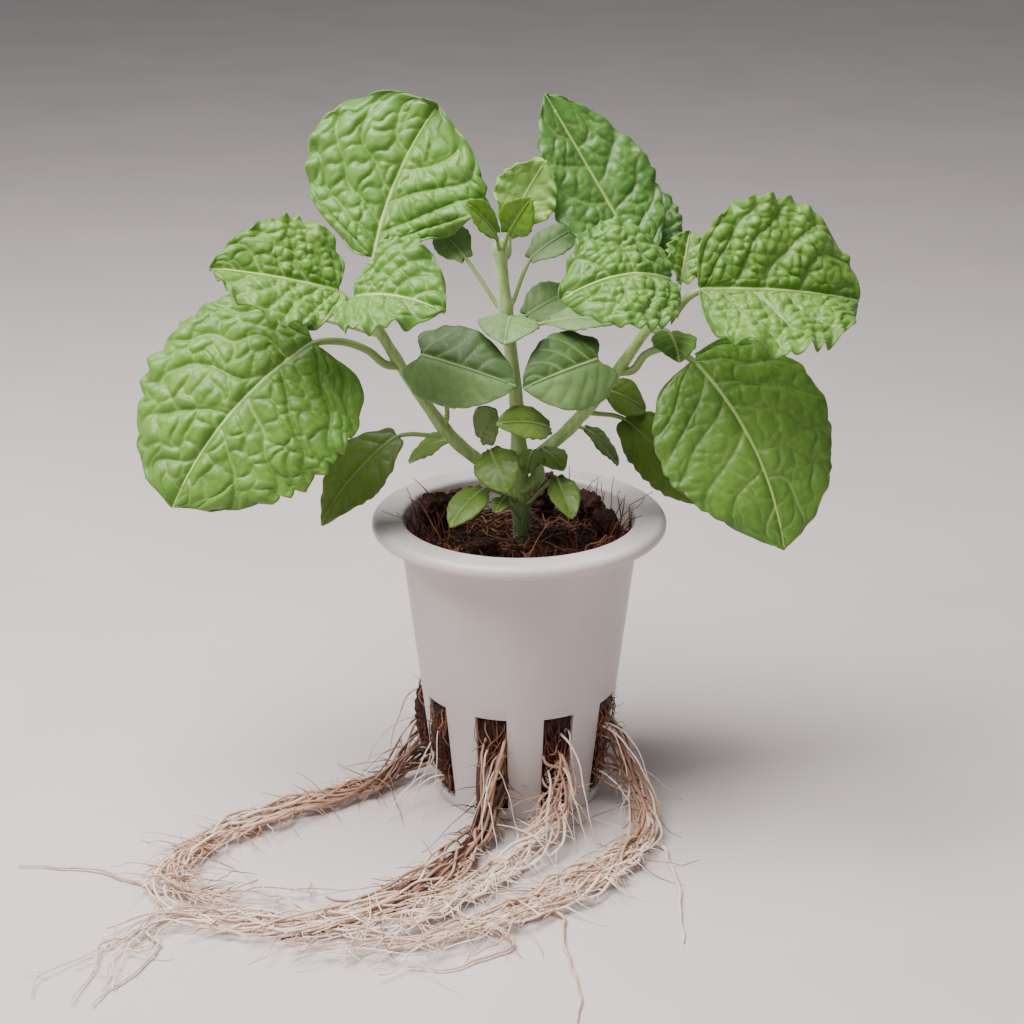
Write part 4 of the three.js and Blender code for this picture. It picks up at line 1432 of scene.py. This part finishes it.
@dataclass
class NetPot:
    """The moulded pot: a thin tapered wall with nine side slots, nine floor slots and a broad rolled lip."""

    height: float = 61.0
    lip_radius: float = 30.0
    mouth_radius: float = 23.5
    shoulder_radius: float = 24.4
    base_radius: float = 17.7
    base_round: float = 0.5
    shoulder_round: float = 0.75
    lip_under_round: float = 1.1
    lip_top_round: float = 1.5
    mouth_round: float = 1.1
    lip_bottom: float = 58.2
    floor: float = 1.6
    wall: float = 1.0
    slots: int = 9
    slot_angle: float = 18.5
    first_slot: float = 21.8
    slot_top: float = 24.0
    slot_bottom: float = 2.4
    floor_slot: tuple[float, float] = (7.0, 13.0)
    floor_slot_width: float = 2.6
    floor_blend: float = 3.0          # past the floor slots the columns open out to the side slots over this
    slot_columns: int = 10
    rib_columns: int = 14
    edge_round: float = 0.22

    def outer_radius(self, z: float) -> float:
        """The wall's outside at a height."""
        widening = self.shoulder_radius - self.base_radius
        return self.base_radius + widening * (z - 0.4) / (self.lip_bottom - 0.4)

    def inner_radius(self, z: float) -> float:
        """The wall's inside at a height."""
        low = self.base_radius - self.wall
        return low + (self.mouth_radius - low) * (z - self.floor) / (self.height - 0.5 - self.floor)

    @staticmethod
    def corner(centre: tuple[float, float], radius: float, start: float, end: float, steps: int) -> Outline:
        """Points on a rounded corner of the profile, from one angle to another in degrees."""
        turns = np.radians(np.linspace(start, end, steps))
        return [(centre[0] + radius * math.cos(t), centre[1] + radius * math.sin(t)) for t in turns]

    def profile(self) -> tuple[Outline, set[int]]:
        """The section from the middle of the underside, up over the lip and down to the floor's middle.

        Returns:
            The points as radius and height, and which segments a slot cuts.
        """
        inner, outer = self.floor_slot
        across = (0.0, 3.5, inner, 9.0, 11.0, outer, 15.0)
        under = [(r, 0.0) for r in (*across, self.base_radius - 0.7)]
        heights = [1.3, *np.linspace(self.slot_bottom, self.slot_top, 12), *np.linspace(27, 57, 12)]
        up = [(self.outer_radius(z), z) for z in heights]
        foot_at = (self.base_radius - self.base_round - 0.05, self.base_round)
        shoulder_at = (self.shoulder_radius + self.shoulder_round, self.lip_bottom - self.shoulder_round)
        lip_under_at = (self.lip_radius - self.lip_under_round, self.lip_bottom + self.lip_under_round)
        lip_top_at = (self.lip_radius - self.lip_top_round, self.height - self.lip_top_round)
        mouth_at = (self.mouth_radius + self.mouth_round, self.height - self.mouth_round)
        lip = [
            *self.corner(shoulder_at, self.shoulder_round, 180, 90, 5),
            (26.5, self.lip_bottom),
            *self.corner(lip_under_at, self.lip_under_round, -90, 0, 6),
            *self.corner(lip_top_at, self.lip_top_round, 10, 88, 8),
            (27.2, self.height),
            (25.6, self.height - 0.02),
            *self.corner(mouth_at, self.mouth_round, 92, 180, 6),
        ]
        down = [(self.inner_radius(z), z) for z in heights[::-1] if z > 2]
        floor = [(r, self.floor) for r in (self.base_radius - 1.9, *across[::-1])]
        points = under + self.corner(foot_at, self.base_round, -85, 0, 4) + up + lip + down + floor
        cut = set()
        for i, ((r1, z1), (r2, z2)) in enumerate(zip(points, points[1:])):
            in_side_slot = self.slot_bottom - SLIGHT <= min(z1, z2) and max(z1, z2) <= self.slot_top + SLIGHT
            in_floor_slot = inner - SLIGHT <= min(r1, r2) and max(r1, r2) <= outer + SLIGHT
            if in_side_slot or (in_floor_slot and max(z1, z2) <= self.floor):
                cut.add(i)
        return points, cut

    def half_slot(self, radius: float, z: float) -> float:
        """How wide the grid's slot columns are.

        Args:
            radius: Distance from the axis.
            z: Height.

        Returns:
            Half the angle that they take there, in degrees.
        """
        wall_half = self.slot_angle / 2
        inner, outer = self.floor_slot
        if z > self.slot_bottom - SLIGHT or radius > outer + self.floor_blend:
            return wall_half
        floor_half = math.degrees(math.asin(self.floor_slot_width / 2 / max(radius, inner)))
        opened = min(1.0, max(0.0, (radius - outer) / self.floor_blend))
        return floor_half + (wall_half - floor_half) * opened

    def columns(self, half: float) -> Array:
        """Spaces the grid's columns.

        Args:
            half: Half the angle that each slot's columns take, in degrees.

        Returns:
            The angles of all columns, in radians from the front towards +X.
        """
        pitch = 360 / self.slots
        own = np.concatenate([
            np.linspace(-half, half, self.slot_columns, endpoint=False),
            np.linspace(half, pitch - half, self.rib_columns, endpoint=False),
        ])
        return np.radians(np.concatenate([own + self.first_slot + pitch * i for i in range(self.slots)]))

    def build(self) -> None:
        """Makes the pot in place of its frame node."""
        outline, cut = self.profile()
        points = []
        for radius, z in outline:
            turns = self.columns(self.half_slot(radius, z))
            points += [(radius * math.sin(t), -radius * math.cos(t), z) for t in turns]
        around = self.slots * (self.slot_columns + self.rib_columns)
        solid = bmesh.new()
        verts = [solid.verts.new(Vector(point) * MM) for point in points]
        for row in range(len(outline) - 1):
            for column in range(around):
                in_slot = column % (self.slot_columns + self.rib_columns) < self.slot_columns
                if row in cut and in_slot:
                    continue
                a, b = row * around + column, row * around + (column + 1) % around
                solid.faces.new([verts[a], verts[b], verts[b + around], verts[a + around]])
        bmesh.ops.remove_doubles(solid, verts=solid.verts, dist=MERGE)
        self.close_slots(solid)
        bmesh.ops.recalc_face_normals(solid, faces=solid.faces)
        mesh = bpy.data.meshes.new("pot_shell")
        solid.to_mesh(mesh)
        solid.free()
        mesh.shade_smooth()
        settle(place("pot_shell", mesh, PotFinish().material()), "pot", "net_pot")

    def close_slots(self, solid: bmesh.types.BMesh) -> None:
        """Joins each slot's outer edge to its inner edge and rounds both.

        Args:
            solid: The pot, still open at its slots.
        """
        loose = {edge for edge in solid.edges if edge.is_boundary}
        loops = []
        while loose:
            loop = [loose.pop()]
            reached = set(loop[0].verts)
            growing = True
            while growing:
                more = [edge for edge in loose if reached & set(edge.verts)]
                growing = bool(more)
                loose.difference_update(more)
                loop += more
                reached |= {vert for edge in more for vert in edge.verts}
            loops.append(loop)
        middles = [
            sum((vert.co for edge in loop for vert in edge.verts), Vector()) / (2 * len(loop))
            for loop in loops
        ]
        rims = []
        left = set(range(len(loops)))
        while left:
            first = left.pop()
            mate = min(left, key=lambda i: (middles[i] - middles[first]).length)
            left.remove(mate)
            bmesh.ops.bridge_loops(solid, edges=loops[first] + loops[mate])
            rims += loops[first] + loops[mate]
        bmesh.ops.recalc_face_normals(solid, faces=solid.faces)
        bmesh.ops.bevel(
            solid, geom=rims, offset=self.edge_round * MM, segments=2, profile=0.5, affect="EDGES",
            clamp_overlap=True,
        )


# ---------------------------------------------------------------- coir


@dataclass
class Coir:
    """The plug of coconut coir: a crumbly body, husk chips standing on it, and a tangle of loose fibre."""

    pot: NetPot
    tree: Tree
    top: float = 54.0
    bottom: float = 1.9
    lump: float = 1.3
    slot_bulge: float = 1.7
    around: int = 200
    lying: int = 420                  # how many fibres of each kind there are
    standing: int = 95
    pressed_each_slot: int = 36
    poking_each_slot: int = 12
    lying_points: int = 12            # and how many points each of them has
    standing_points: int = 22
    pressed_points: int = 11
    poking_points: int = 9
    seed: int = 4
    chips: tuple[str, ...] = (
        "husk_chip_left", "husk_chip_back_left", "husk_chip_tall", "husk_chip_back_right", "husk_chip_right",
        "husk_chip_front",
    )
    tufts: tuple[str, ...] = ("coir_tuft_left", "coir_tuft_front_left")

    def surface_height(self, x: float, y: float) -> float:
        """The height of the plug's lumpy top.

        Args:
            x: Place from left to right.
            y: Place from front to back.

        Returns:
            The height.
        """
        lumps = noise.fractal(Vector((x / 7, y / 7, 3.0)), 0.8, 2.1, 4)
        crowned = 0.8 - 1.6 * (math.hypot(x, y) / self.pot.mouth_radius) ** 4
        return self.top + crowned + self.lump * lumps

    def side_radius(self, turn: float, z: float) -> float:
        """The plug's rough side, which bulges a little into the slots.

        Args:
            turn: Angle round the pot.
            z: Height.

        Returns:
            The distance from the axis.
        """
        half = math.radians(self.pot.slot_angle / 2)
        pitch = 2 * math.pi / self.pot.slots
        off = (turn - math.radians(self.pot.first_slot) + pitch / 2) % pitch - pitch / 2
        opening = max(0.0, 1 - (abs(off) / half) ** 4)
        opening *= max(0.0, min(1.0, (self.pot.slot_top - z) / 1.5, (z - self.pot.slot_bottom) / 1.5))
        radius = self.pot.inner_radius(z) - 0.35
        place_at = Vector((math.sin(turn) * radius / 3, math.cos(turn) * radius / 3, z / 3))
        rough = noise.fractal(place_at, 0.7, 2.2, 4)
        return radius + opening * self.slot_bulge * (0.45 + 0.6 * rough) - (1 - opening) * 0.3 * abs(rough)

    def body(self) -> Shape:
        """Makes the plug's underside, its side and its lumpy top.

        Returns:
            The closed plug.
        """
        turns = np.linspace(0, 2 * math.pi, self.around, endpoint=False)
        rings = []
        for share in np.linspace(0.02, 0.94, 7):
            radius = share * self.pot.inner_radius(self.bottom)
            rings.append([(radius * math.sin(t), -radius * math.cos(t), self.bottom) for t in turns])
        for z in np.linspace(self.bottom, self.top - 3, 46):
            radii = [self.side_radius(t, z) for t in turns]
            rings.append([(r * math.sin(t), -r * math.cos(t), z) for r, t in zip(radii, turns)])
        for share in np.linspace(0.97, 0.02, 42):
            radius = share * (self.pot.inner_radius(self.top) - 0.3)
            places = [(radius * math.sin(t), -radius * math.cos(t)) for t in turns]
            rings.append([(x, y, self.surface_height(x, y)) for x, y in places])
        points = [point for ring in rings for point in ring]
        ends = [np.mean(rings[0], 0), np.mean(rings[-1], 0)]
        return Shape(np.array([*points, *ends]), tube_faces(len(rings), self.around))

    def lying_fibres(self, rng: np.random.Generator) -> list[Strand]:
        """Fibres that lie tangled over the plug's top.

        Args:
            rng: Where their unevenness comes from.

        Returns:
            The fibres.
        """
        strands = []
        for _ in range(self.lying):
            turn, heading = rng.uniform(0, 2 * math.pi, 2)
            radius = (self.pot.mouth_radius - 2) * math.sqrt(rng.uniform(0.02, 1))
            length = rng.uniform(6, 19)
            t = np.linspace(-0.5, 0.5, self.lying_points)
            bend = rng.uniform(-1.6, 1.6)
            x = radius * math.sin(turn) + length * t * np.cos(heading + bend * t)
            y = -radius * math.cos(turn) + length * t * np.sin(heading + bend * t)
            limit = self.pot.mouth_radius - 0.9
            reach = np.maximum(np.hypot(x, y) / limit, 1)
            x, y = x / reach, y / reach
            arch = rng.uniform(0.0, 2.6) * (1 - 4 * t * t)
            z = np.array([self.surface_height(a, b) for a, b in zip(x, y)]) + 0.25 + arch
            path = np.column_stack([x, y, z]) + 0.35 * wander(rng, self.lying_points, 1.5)
            thick = 0.1 + 0.26 * rng.uniform(0, 1) ** 2
            strands.append(even_strand(path, thick, 0.07, rng.uniform(0.0, 1.1) ** 0.7))
        return strands

    def standing_hairs(self, rng: np.random.Generator) -> list[Strand]:
        """Thin dark hairs that stand up and out over the lip, most of them at the left and the right.

        Args:
            rng: Where their unevenness comes from.

        Returns:
            The hairs.
        """
        strands = []
        for _ in range(self.standing):
            at_left, at_right = rng.normal(-1.25, 0.4), rng.normal(1.35, 0.45)
            turn = rng.choice([at_left, at_right, rng.uniform(-3.1, 3.1)], p=[0.4, 0.35, 0.25])
            radius = rng.uniform(0.72, 0.95) * self.pot.mouth_radius
            out = outward(turn)
            foot = out * radius
            foot[2] = self.surface_height(foot[0], foot[1]) + 0.2
            length = rng.uniform(7, 16)
            t = np.linspace(0, 1, self.standing_points)[:, None]
            lean = rng.uniform(-0.3, 0.9)
            aside = np.array([-out[1], out[0], 0]) * rng.uniform(-0.7, 0.7)
            direction = unit(UP + out * lean + aside)
            curl = unit(out * rng.uniform(-0.3, 1) - UP * 0.5) * rng.uniform(0.05, 0.45)
            drift = 0.25 * wander(rng, self.standing_points, 1.0)
            path = self.clear_of_lip(foot + length * (t * direction + t ** 2 * curl) + drift * t)
            strands.append(even_strand(path, rng.uniform(0.14, 0.22), 0.07, rng.uniform(0.25, 0.95)))
        return strands

    def clear_of_lip(self, path: Array) -> Array:
        """Bends a hair so that it rises through the mouth before it leans out.

        Args:
            path: Its route.

        Returns:
            The route, moved towards the axis where it was too near to the lip.
        """
        bent = softened(path, 1.0)
        radius = np.hypot(bent[:, 0], bent[:, 1])
        above = np.maximum(bent[:, 2] - self.pot.height - 0.5, 0)
        reach = self.pot.mouth_radius - 0.7 + 2.2 * above
        bent[:, :2] *= np.minimum(1, reach / radius)[:, None]
        return bent

    def slot_fibres(self, rng: np.random.Generator) -> list[Strand]:
        """Fibres that press against the slots and poke out through them.

        Args:
            rng: Where their unevenness comes from.

        Returns:
            The fibres.
        """
        strands = []
        for slot in range(self.pot.slots):
            middle = math.radians(self.pot.first_slot + 360 / self.pot.slots * slot)
            for _ in range(self.pressed_each_slot):
                low = rng.uniform(3.2, 19)
                high = min(low + rng.uniform(3, 13), self.pot.slot_top - 0.6)
                t = np.linspace(0, 1, self.pressed_points)
                z = low + (high - low) * t
                turn = middle + np.radians(np.clip(rng.uniform(-8, 8) + rng.uniform(-14, 14) * t, -8, 8))
                proud = rng.uniform(0.2, 1.2) + rng.uniform(0, 1.6) * np.sin(math.pi * t)
                radius = np.array([self.pot.inner_radius(h) for h in z]) + proud
                path = np.column_stack([radius * np.sin(turn), -radius * np.cos(turn), z])
                path += 0.3 * wander(rng, self.pressed_points, 1.5)
                strands.append(even_strand(path, rng.uniform(0.1, 0.27), 0.08, rng.uniform(-0.1, 1.1)))
            for _ in range(self.poking_each_slot):
                z0 = rng.uniform(5, 22.5)
                out = outward(middle + math.radians(rng.uniform(-7, 7)))
                rising = out + UP * rng.uniform(-0.5, 0.9)
                direction = unit(rising + rng.uniform(-0.4, 0.4) * np.cross(UP, out))
                foot = out * (self.pot.inner_radius(z0) - 0.5) + UP * z0
                t = np.linspace(0, 1, self.poking_points)[:, None]
                path = foot + rng.uniform(2.5, 6.5) * t * direction
                path = path + 0.35 * wander(rng, self.poking_points, 1.2) * t
                strands.append(even_strand(path, rng.uniform(0.09, 0.17), 0.04, rng.uniform(0.4, 1.1)))
        return strands

    def rough_block(self, name: str, cuts: int, depth: float) -> Shape:
        """A frame block with a torn, crumbly surface.

        Args:
            name: The frame node.
            cuts: How many times its edges are halved first.
            depth: How far the surface is torn out and in.

        Returns:
            The block.
        """
        block = bmesh.new()
        block.from_mesh(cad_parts[name].data)
        bmesh.ops.remove_doubles(block, verts=block.verts, dist=MERGE)
        for _ in range(cuts):
            bmesh.ops.subdivide_edges(block, edges=block.edges, cuts=1, use_grid_fill=True, smooth=0.3)
        bmesh.ops.triangulate(block, faces=block.faces)
        block.normal_update()
        for vert in block.verts:
            at = vert.co / MM
            torn = noise.fractal(at / 1.6, 0.8, 2.2, 4)
            pitted = noise.fractal(Vector((at.x / 0.7, at.y / 0.7, at.z / 3.5)), 0.7, 2.0, 3)
            vert.co += vert.normal * depth * (torn * 0.8 + pitted * 0.4 - 0.15) * MM
        points = np.array([tuple(vert.co) for vert in block.verts]) / MM
        block.verts.index_update()
        faces = [tuple(vert.index for vert in face.verts) for face in block.faces]
        block.free()
        return Shape(points, faces)

    def build(self) -> None:
        """Makes the plug, its chips, its tufts and its fibres."""
        pith = HuskFinish("wet_coir_pith", fibre_run=(1, 1, 0.35)).material()
        husk = HuskFinish(
            "coconut_husk_chip", pith="#1c0a06", flesh="#431c10", fibre="#7a3e22", fibre_run=(1, 0.25, 1),
        ).material()
        fibre = FibreFinish(
            "coir_fibre", pale="#9c6b50", middle="#6a301b", dark="#1a0a06", roughness=0.65,
        ).material()
        settle(place("coir_body", self.body().mesh("coir_body"), pith), "coir", "coir_plug")
        for name in self.chips:
            settle(place(name + "_torn", self.rough_block(name, 4, 0.95).mesh(name), husk), "husk", name)
        for name in self.tufts:
            settle(place(name + "_torn", self.rough_block(name, 3, 0.8).mesh(name), husk), "coir", name)
        rng = np.random.default_rng(self.seed)
        for name, make in (
            ("coir_top_fibres", self.lying_fibres),
            ("coir_standing_hairs", self.standing_hairs),
            ("coir_slot_fibres", self.slot_fibres),
        ):
            settle(skin_strands(name, make(rng), FINE_SKIN_SIDES, fibre, self.tree), "coir")


# ---------------------------------------------------------------- roots


@dataclass
class RootBundle:
    """A rope of roots that leaves a slot and lies along the floor, with fine side roots all along it."""

    name: str
    pot: NetPot = field(default_factory=NetPot)
    strands: int = 24
    spread: float = 3.6
    lowest: float = 5.0               # heights between which its roots leave the slot
    highest: float = 20.0
    dark: float = 0.5                 # share of the route over which it is stained brown
    stained: int = 0                  # coir-coated strands at its heart
    laterals: int = 130
    spikes: int = 300
    longest_lateral: float = 15.0
    tint: float = 0.25
    seed: int = 1
    samples: int = 110

    def route(self) -> tuple[Array, Array]:
        """Reads the bundle's route from its frame node.

        Returns:
            Its middle line, and its sideways direction at each point of that line.
        """
        centres, _ = centre_line(self.name, ROOT_SIDES)
        path = along_route(centres, self.samples)
        ahead = unit(np.gradient(path, axis=0))
        return path, unit(np.cross(ahead, UP) + 1e-6)

    def shade(self, share: Array) -> Array:
        """How brown a root is along the bundle: stained by the coir near the pot, pale further out."""
        return self.tint + 0.6 * np.clip(1 - share / self.dark, 0, 1) ** 1.2

    def source(self, rng: np.random.Generator, path: Array) -> Array:
        """Picks where a root leaves the coir, somewhere in the bundle's own slot.

        Args:
            rng: Where the choice comes from.
            path: The bundle's middle line.

        Returns:
            Two points that the root passes through.
        """
        turn = math.atan2(path[0, 0], -path[0, 1]) + math.radians(rng.uniform(-7.5, 7.5))
        out = outward(turn)
        z = rng.uniform(self.lowest, self.highest)
        foot = out * (self.pot.inner_radius(z) - 0.4) + UP * z
        return np.array([foot, foot + out * rng.uniform(1.4, 3.2) - UP * rng.uniform(-0.5, 2.5)])

    def runners(self, rng: np.random.Generator, path: Array, aside: Array) -> list[Strand]:
        """The long roots that make the mat.

        Args:
            rng: Where their unevenness comes from.
            path: The bundle's middle line.
            aside: Its sideways direction along that line.

        Returns:
            The roots.
        """
        made = []
        numbers = np.arange(self.samples)
        for i in range(self.strands + self.stained):
            coated = i >= self.strands
            rooted = coated or i % 4 != 3
            begin = rng.uniform(0.08, 0.2) if rooted else rng.uniform(0.15, 0.55)
            finish = rng.uniform(0.3, 0.6) if coated else rng.uniform(0.55, 1.0)
            count = max(24, int(self.samples * 1.5 * (finish - begin)))
            picks = np.linspace(begin, finish, count)
            where = picks * (self.samples - 1)
            base = np.array([np.interp(where, numbers, path[:, k]) for k in range(3)]).T
            side = unit(np.array([np.interp(where, numbers, aside[:, k]) for k in range(3)]).T)
            widen = np.clip(0.3 + picks / 0.3, 0, 1) * self.spread * (0.4 if coated else 1.0)
            length = finish - begin
            drift = wander(rng, count, 3.0 * length + 0.4)
            fine = wander(rng, count, 14 * length)
            fray = np.clip((picks - (finish - 0.2)) / 0.2, 0, 1) ** 2 * rng.uniform(-7, 7)
            route = base + side * (widen * (0.7 * drift[:, 0] + rng.uniform(-0.5, 0.5)) + fray)[:, None]
            heaped = np.abs(0.5 * widen * drift[:, 1]) * rng.uniform(0.1, 1.0)
            route[:, 2] += heaped - 0.6 * np.clip(picks, 0, 0.5)
            route += 0.3 * fine
            if rooted:
                count += 20
                route = along_route(np.vstack([self.source(rng, path), route[:-1:6], route[-1:]]), count)
                picks = np.linspace(0, finish, count)
            thick = rng.uniform(0.4, 0.62) if coated else rng.uniform(0.2, 0.4)
            uneven = 1 + 0.08 * wander(rng, count, 12)[:, 2]
            width = thick * (1 - 0.6 * np.linspace(0, 1, count) ** 2) * uneven
            tint = self.shade(picks) + rng.uniform(-0.3, 0.25) + (0.5 if coated else 0.0)
            made.append(Strand(above_floor(route, width), width, tint))
        return made

    def side_roots(self, rng: np.random.Generator, runners: list[Strand]) -> list[Strand]:
        """Fine side roots that leave the runners, and short stiff ones between them.

        Args:
            rng: Where their unevenness comes from.
            runners: The long roots.

        Returns:
            The side roots.
        """
        made = []
        for i in range(self.laterals + self.spikes):
            short = i >= self.laterals
            parent = runners[rng.integers(len(runners))]
            spot = int(rng.integers(2, len(parent.path) - 2))
            ahead = unit(parent.path[spot + 1] - parent.path[spot - 1])
            beside = unit(np.cross(ahead, UP) + 1e-6) * rng.choice([-1, 1])
            if short:
                length = rng.uniform(1.5, 4.5)
            else:
                length = 3 + (self.longest_lateral - 3) * rng.uniform(0, 1) ** 2
            leaning = beside + ahead * rng.uniform(-0.3, 1.5)
            direction = unit(leaning + UP * rng.uniform(-0.1, 0.8 if short else 0.45))
            count = 7 if short else 13
            t = np.linspace(0, 1, count)[:, None]
            bend = unit(np.cross(direction, UP)) * rng.uniform(-0.45, 0.45) - UP * rng.uniform(0.05, 0.5)
            drift = wander(rng, count, 1.2) - wander(rng, count, 1.2)[0]
            route = parent.path[spot] + length * (t * direction + t * t * bend) + 0.045 * length * drift * t
            thick = rng.uniform(0.08, 0.15) if short else rng.uniform(0.1, 0.22)
            width = np.linspace(thick, 0.045, count)
            tone = parent.tint[spot] + rng.uniform(-0.2, 0.35)
            made.append(Strand(above_floor(route, width), width, np.full(count, tone)))
        return made

    def build(self, material: Material, tree: Tree) -> None:
        """Makes the bundle in place of its frame node.

        Args:
            material: The roots' finish.
            tree: The Geometry Nodes tree that skins them.
        """
        rng = np.random.default_rng(self.seed)
        path, aside = self.route()
        runners = self.runners(rng, path, aside)
        mat = skin_strands(self.name + "_runners", runners, ROOT_SKIN_SIDES, material, tree)
        settle(mat, "root", self.name)
        fine = self.side_roots(rng, runners)
        settle(skin_strands(self.name + "_side_roots", fine, FINE_SKIN_SIDES, material, tree), "root")


@dataclass
class Roots:
    """Everything that has grown out through the slots."""

    pot: NetPot
    tree: Tree
    bundles: tuple[RootBundle, ...] = (
        RootBundle("root_bundle_left", strands=24, dark=0.45, laterals=150, tint=0.3, highest=15.0, seed=11),
        RootBundle("root_bundle_front_left", strands=24, spread=4.0, dark=0.5, stained=14, seed=12),
        RootBundle(
            "root_bundle_front_right", strands=20, dark=0.3, tint=0.1, laterals=110, highest=17.0, seed=13,
        ),
        RootBundle("root_bundle_right", strands=24, spread=4.0, dark=0.4, tint=0.2, seed=14),
    )
    singles: tuple[str, ...] = (
        "root_strand_right", "root_strand_front", "root_strand_front_left", "root_strand_left_tip",
        "root_strand_far_left",
    )
    arches_in_slots: tuple[int, ...] = (6, 7, 8, 9, 12)   # from the left of the front round to the right
    first_arching_slot: int = -3
    arch_points: int = 30
    single_points: int = 50
    seed: int = 31

    def arches(self, rng: np.random.Generator) -> list[Strand]:
        """Pale young roots that spring from the front slots and arch down to the floor.

        Args:
            rng: Where their unevenness comes from.

        Returns:
            The roots.
        """
        made = []
        for slot, count in enumerate(self.arches_in_slots, self.first_arching_slot):
            around = self.pot.first_slot + 360 / self.pot.slots * slot
            for _ in range(count):
                out = outward(math.radians(around + rng.uniform(-6, 6)))
                z0 = rng.uniform(5, 20)
                foot = out * (self.pot.inner_radius(z0) - 0.3) + UP * z0
                reach = rng.uniform(4, 19)
                t = np.linspace(0, 1, self.arch_points)
                shares = t[:, None]
                side = np.cross(UP, out) * rng.uniform(-7, 7)
                path = foot + out * reach * shares ** 0.8 + side * shares ** 1.5
                falling = z0 * (1 - t ** rng.uniform(1.3, 2.4))
                path[:, 2] = falling + rng.uniform(0, 2.5) * np.sin(math.pi * t)
                path += 0.45 * wander(rng, self.arch_points, 1.6) * np.sin(math.pi * shares / 2)
                strand = even_strand(path, rng.uniform(0.16, 0.3), 0.07, rng.uniform(-0.2, 0.3))
                strand.path = above_floor(path, strand.width)
                made.append(strand)
        return made

    def build(self) -> None:
        """Makes the bundles, the single roots and the arches."""
        finish = FibreFinish(
            "young_basil_root", pale="#f0dccc", middle="#b98f74", dark="#43201a", roughness=0.5, juicy=0.12,
        ).material()
        ropes = []
        for bundle in self.bundles:
            bundle.build(finish, self.tree)
            ropes.append(bundle.route()[0])
        rng = np.random.default_rng(self.seed)
        singles = []
        for name in self.singles:
            centres, _ = centre_line(name, ROOT_SIDES)
            path = along_route(np.vstack([nearest(ropes, centres[0]), centres]), self.single_points)
            drift = 0.5 * wander(rng, self.single_points, 2.5)
            drift[:, 2] *= 0.3
            strand = even_strand(path + drift, 0.34, 0.14, rng.uniform(0.1, 0.5))
            strand.path = above_floor(strand.path, strand.width)
            singles.append(strand)
        made = skin_strands("single_roots", singles, ROOT_SKIN_SIDES, finish, self.tree)
        settle(made, "root", *self.singles)
        settle(skin_strands("arching_roots", self.arches(rng), ARCH_SKIN_SIDES, finish, self.tree), "root")


# ---------------------------------------------------------------- setting


@dataclass(frozen=True)
class FloorFinish(Finish):
    """Smooth matt board, faintly cloudy over a few centimetres so that it doesn't look drawn."""

    name: str = "plain_pale_floor"
    colour: str = "#ccc0bd"
    cloud: str = "#c5bab7"

    def surface(self, tree: Tree) -> Node:
        """Draws the finish in a material's tree, and gives back its last node."""
        clouds = span(tree, grain(tree, 60.0, 3.0), 0.3, 0.7)
        colour = mixed(tree, clouds, linear(self.colour), linear(self.cloud))
        return add_node(tree, "ShaderNodeBsdfPrincipled", {"Base Color": colour, "Roughness": 0.75})


@dataclass(frozen=True)
class Lamp:
    """A soft square lamp: where it hangs, what it lights, how wide it is and its power in watts."""

    name: str
    at: Triple
    aim: Triple
    size: float
    power: float

    def build(self) -> None:
        """Hangs the lamp."""
        data = bpy.data.lights.new(self.name, "AREA")
        data.shape = "SQUARE"
        data.size = self.size * MM
        data.energy = self.power
        made = bpy.data.objects.new(self.name, data)
        made.location = Vector(self.at) * MM
        made.rotation_euler = (Vector(self.aim) - Vector(self.at)).to_track_quat("-Z", "Y").to_euler()
        bpy.context.scene.collection.objects.link(made)


@dataclass
class Studio:
    """The camera, the soft light and the pale floor."""

    camera_at: Triple = (-14.1, -421.7, 220.3)
    pitch_down: float = 0.36036
    yaw: float = 0.03
    lens: float = 77.9
    sensor: float = 36.0
    floor_size: float = 6000.0
    surround_colour: str = "#dfe3e8"
    surround_strength: float = 0.31
    lamps: tuple[Lamp, ...] = (
        Lamp("high_soft_light", at=(-210, -80, 560), aim=(0, -40, 40), size=420, power=9.8),
        Lamp("front_fill", at=(200, -600, 420), aim=(0, 0, 60), size=600, power=0.5),
    )

    def camera(self) -> None:
        """Looks slightly down on the plant from the front."""
        data = bpy.data.cameras.new("camera")
        data.lens = self.lens
        data.sensor_width = self.sensor
        data.clip_start = 0.01
        data.clip_end = 50.0
        made = bpy.data.objects.new("camera", data)
        made.location = Vector(self.camera_at) * MM
        made.rotation_euler = (math.pi / 2 - self.pitch_down, 0, -self.yaw)
        bpy.context.scene.collection.objects.link(made)
        bpy.context.scene.camera = made

    def floor(self) -> None:
        """A wide plain sheet that the pot stands on."""
        half = self.floor_size / 2
        corners = np.array([(-half, -half, 0), (half, -half, 0), (half, half, 0), (-half, half, 0)])
        sheet = place("floor", Shape(corners, [(0, 1, 2, 3)]).mesh("floor"), FloorFinish().material())

    def build(self) -> None:
        """Sets up everything that isn't the plant."""
        self.camera()
        self.floor()
        for lamp in self.lamps:
            lamp.build()
        world = bpy.data.worlds.new("soft_surround")
        world.use_nodes = True
        background = world.node_tree.nodes["Background"]
        background.inputs[0].default_value = linear(self.surround_colour)
        background.inputs[1].default_value = self.surround_strength
        bpy.context.scene.world = world


# ---------------------------------------------------------------- everything


def main() -> None:
    """Builds the plant round the frame."""
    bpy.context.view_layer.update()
    Studio().build()
    strand_skin = strand_tree()
    pot = NetPot()
    pot.build()
    Coir(pot, strand_skin).build()
    Stems().build()
    Foliage().build()
    Roots(pot, strand_skin).build()


if __name__ == "__main__":
    main()
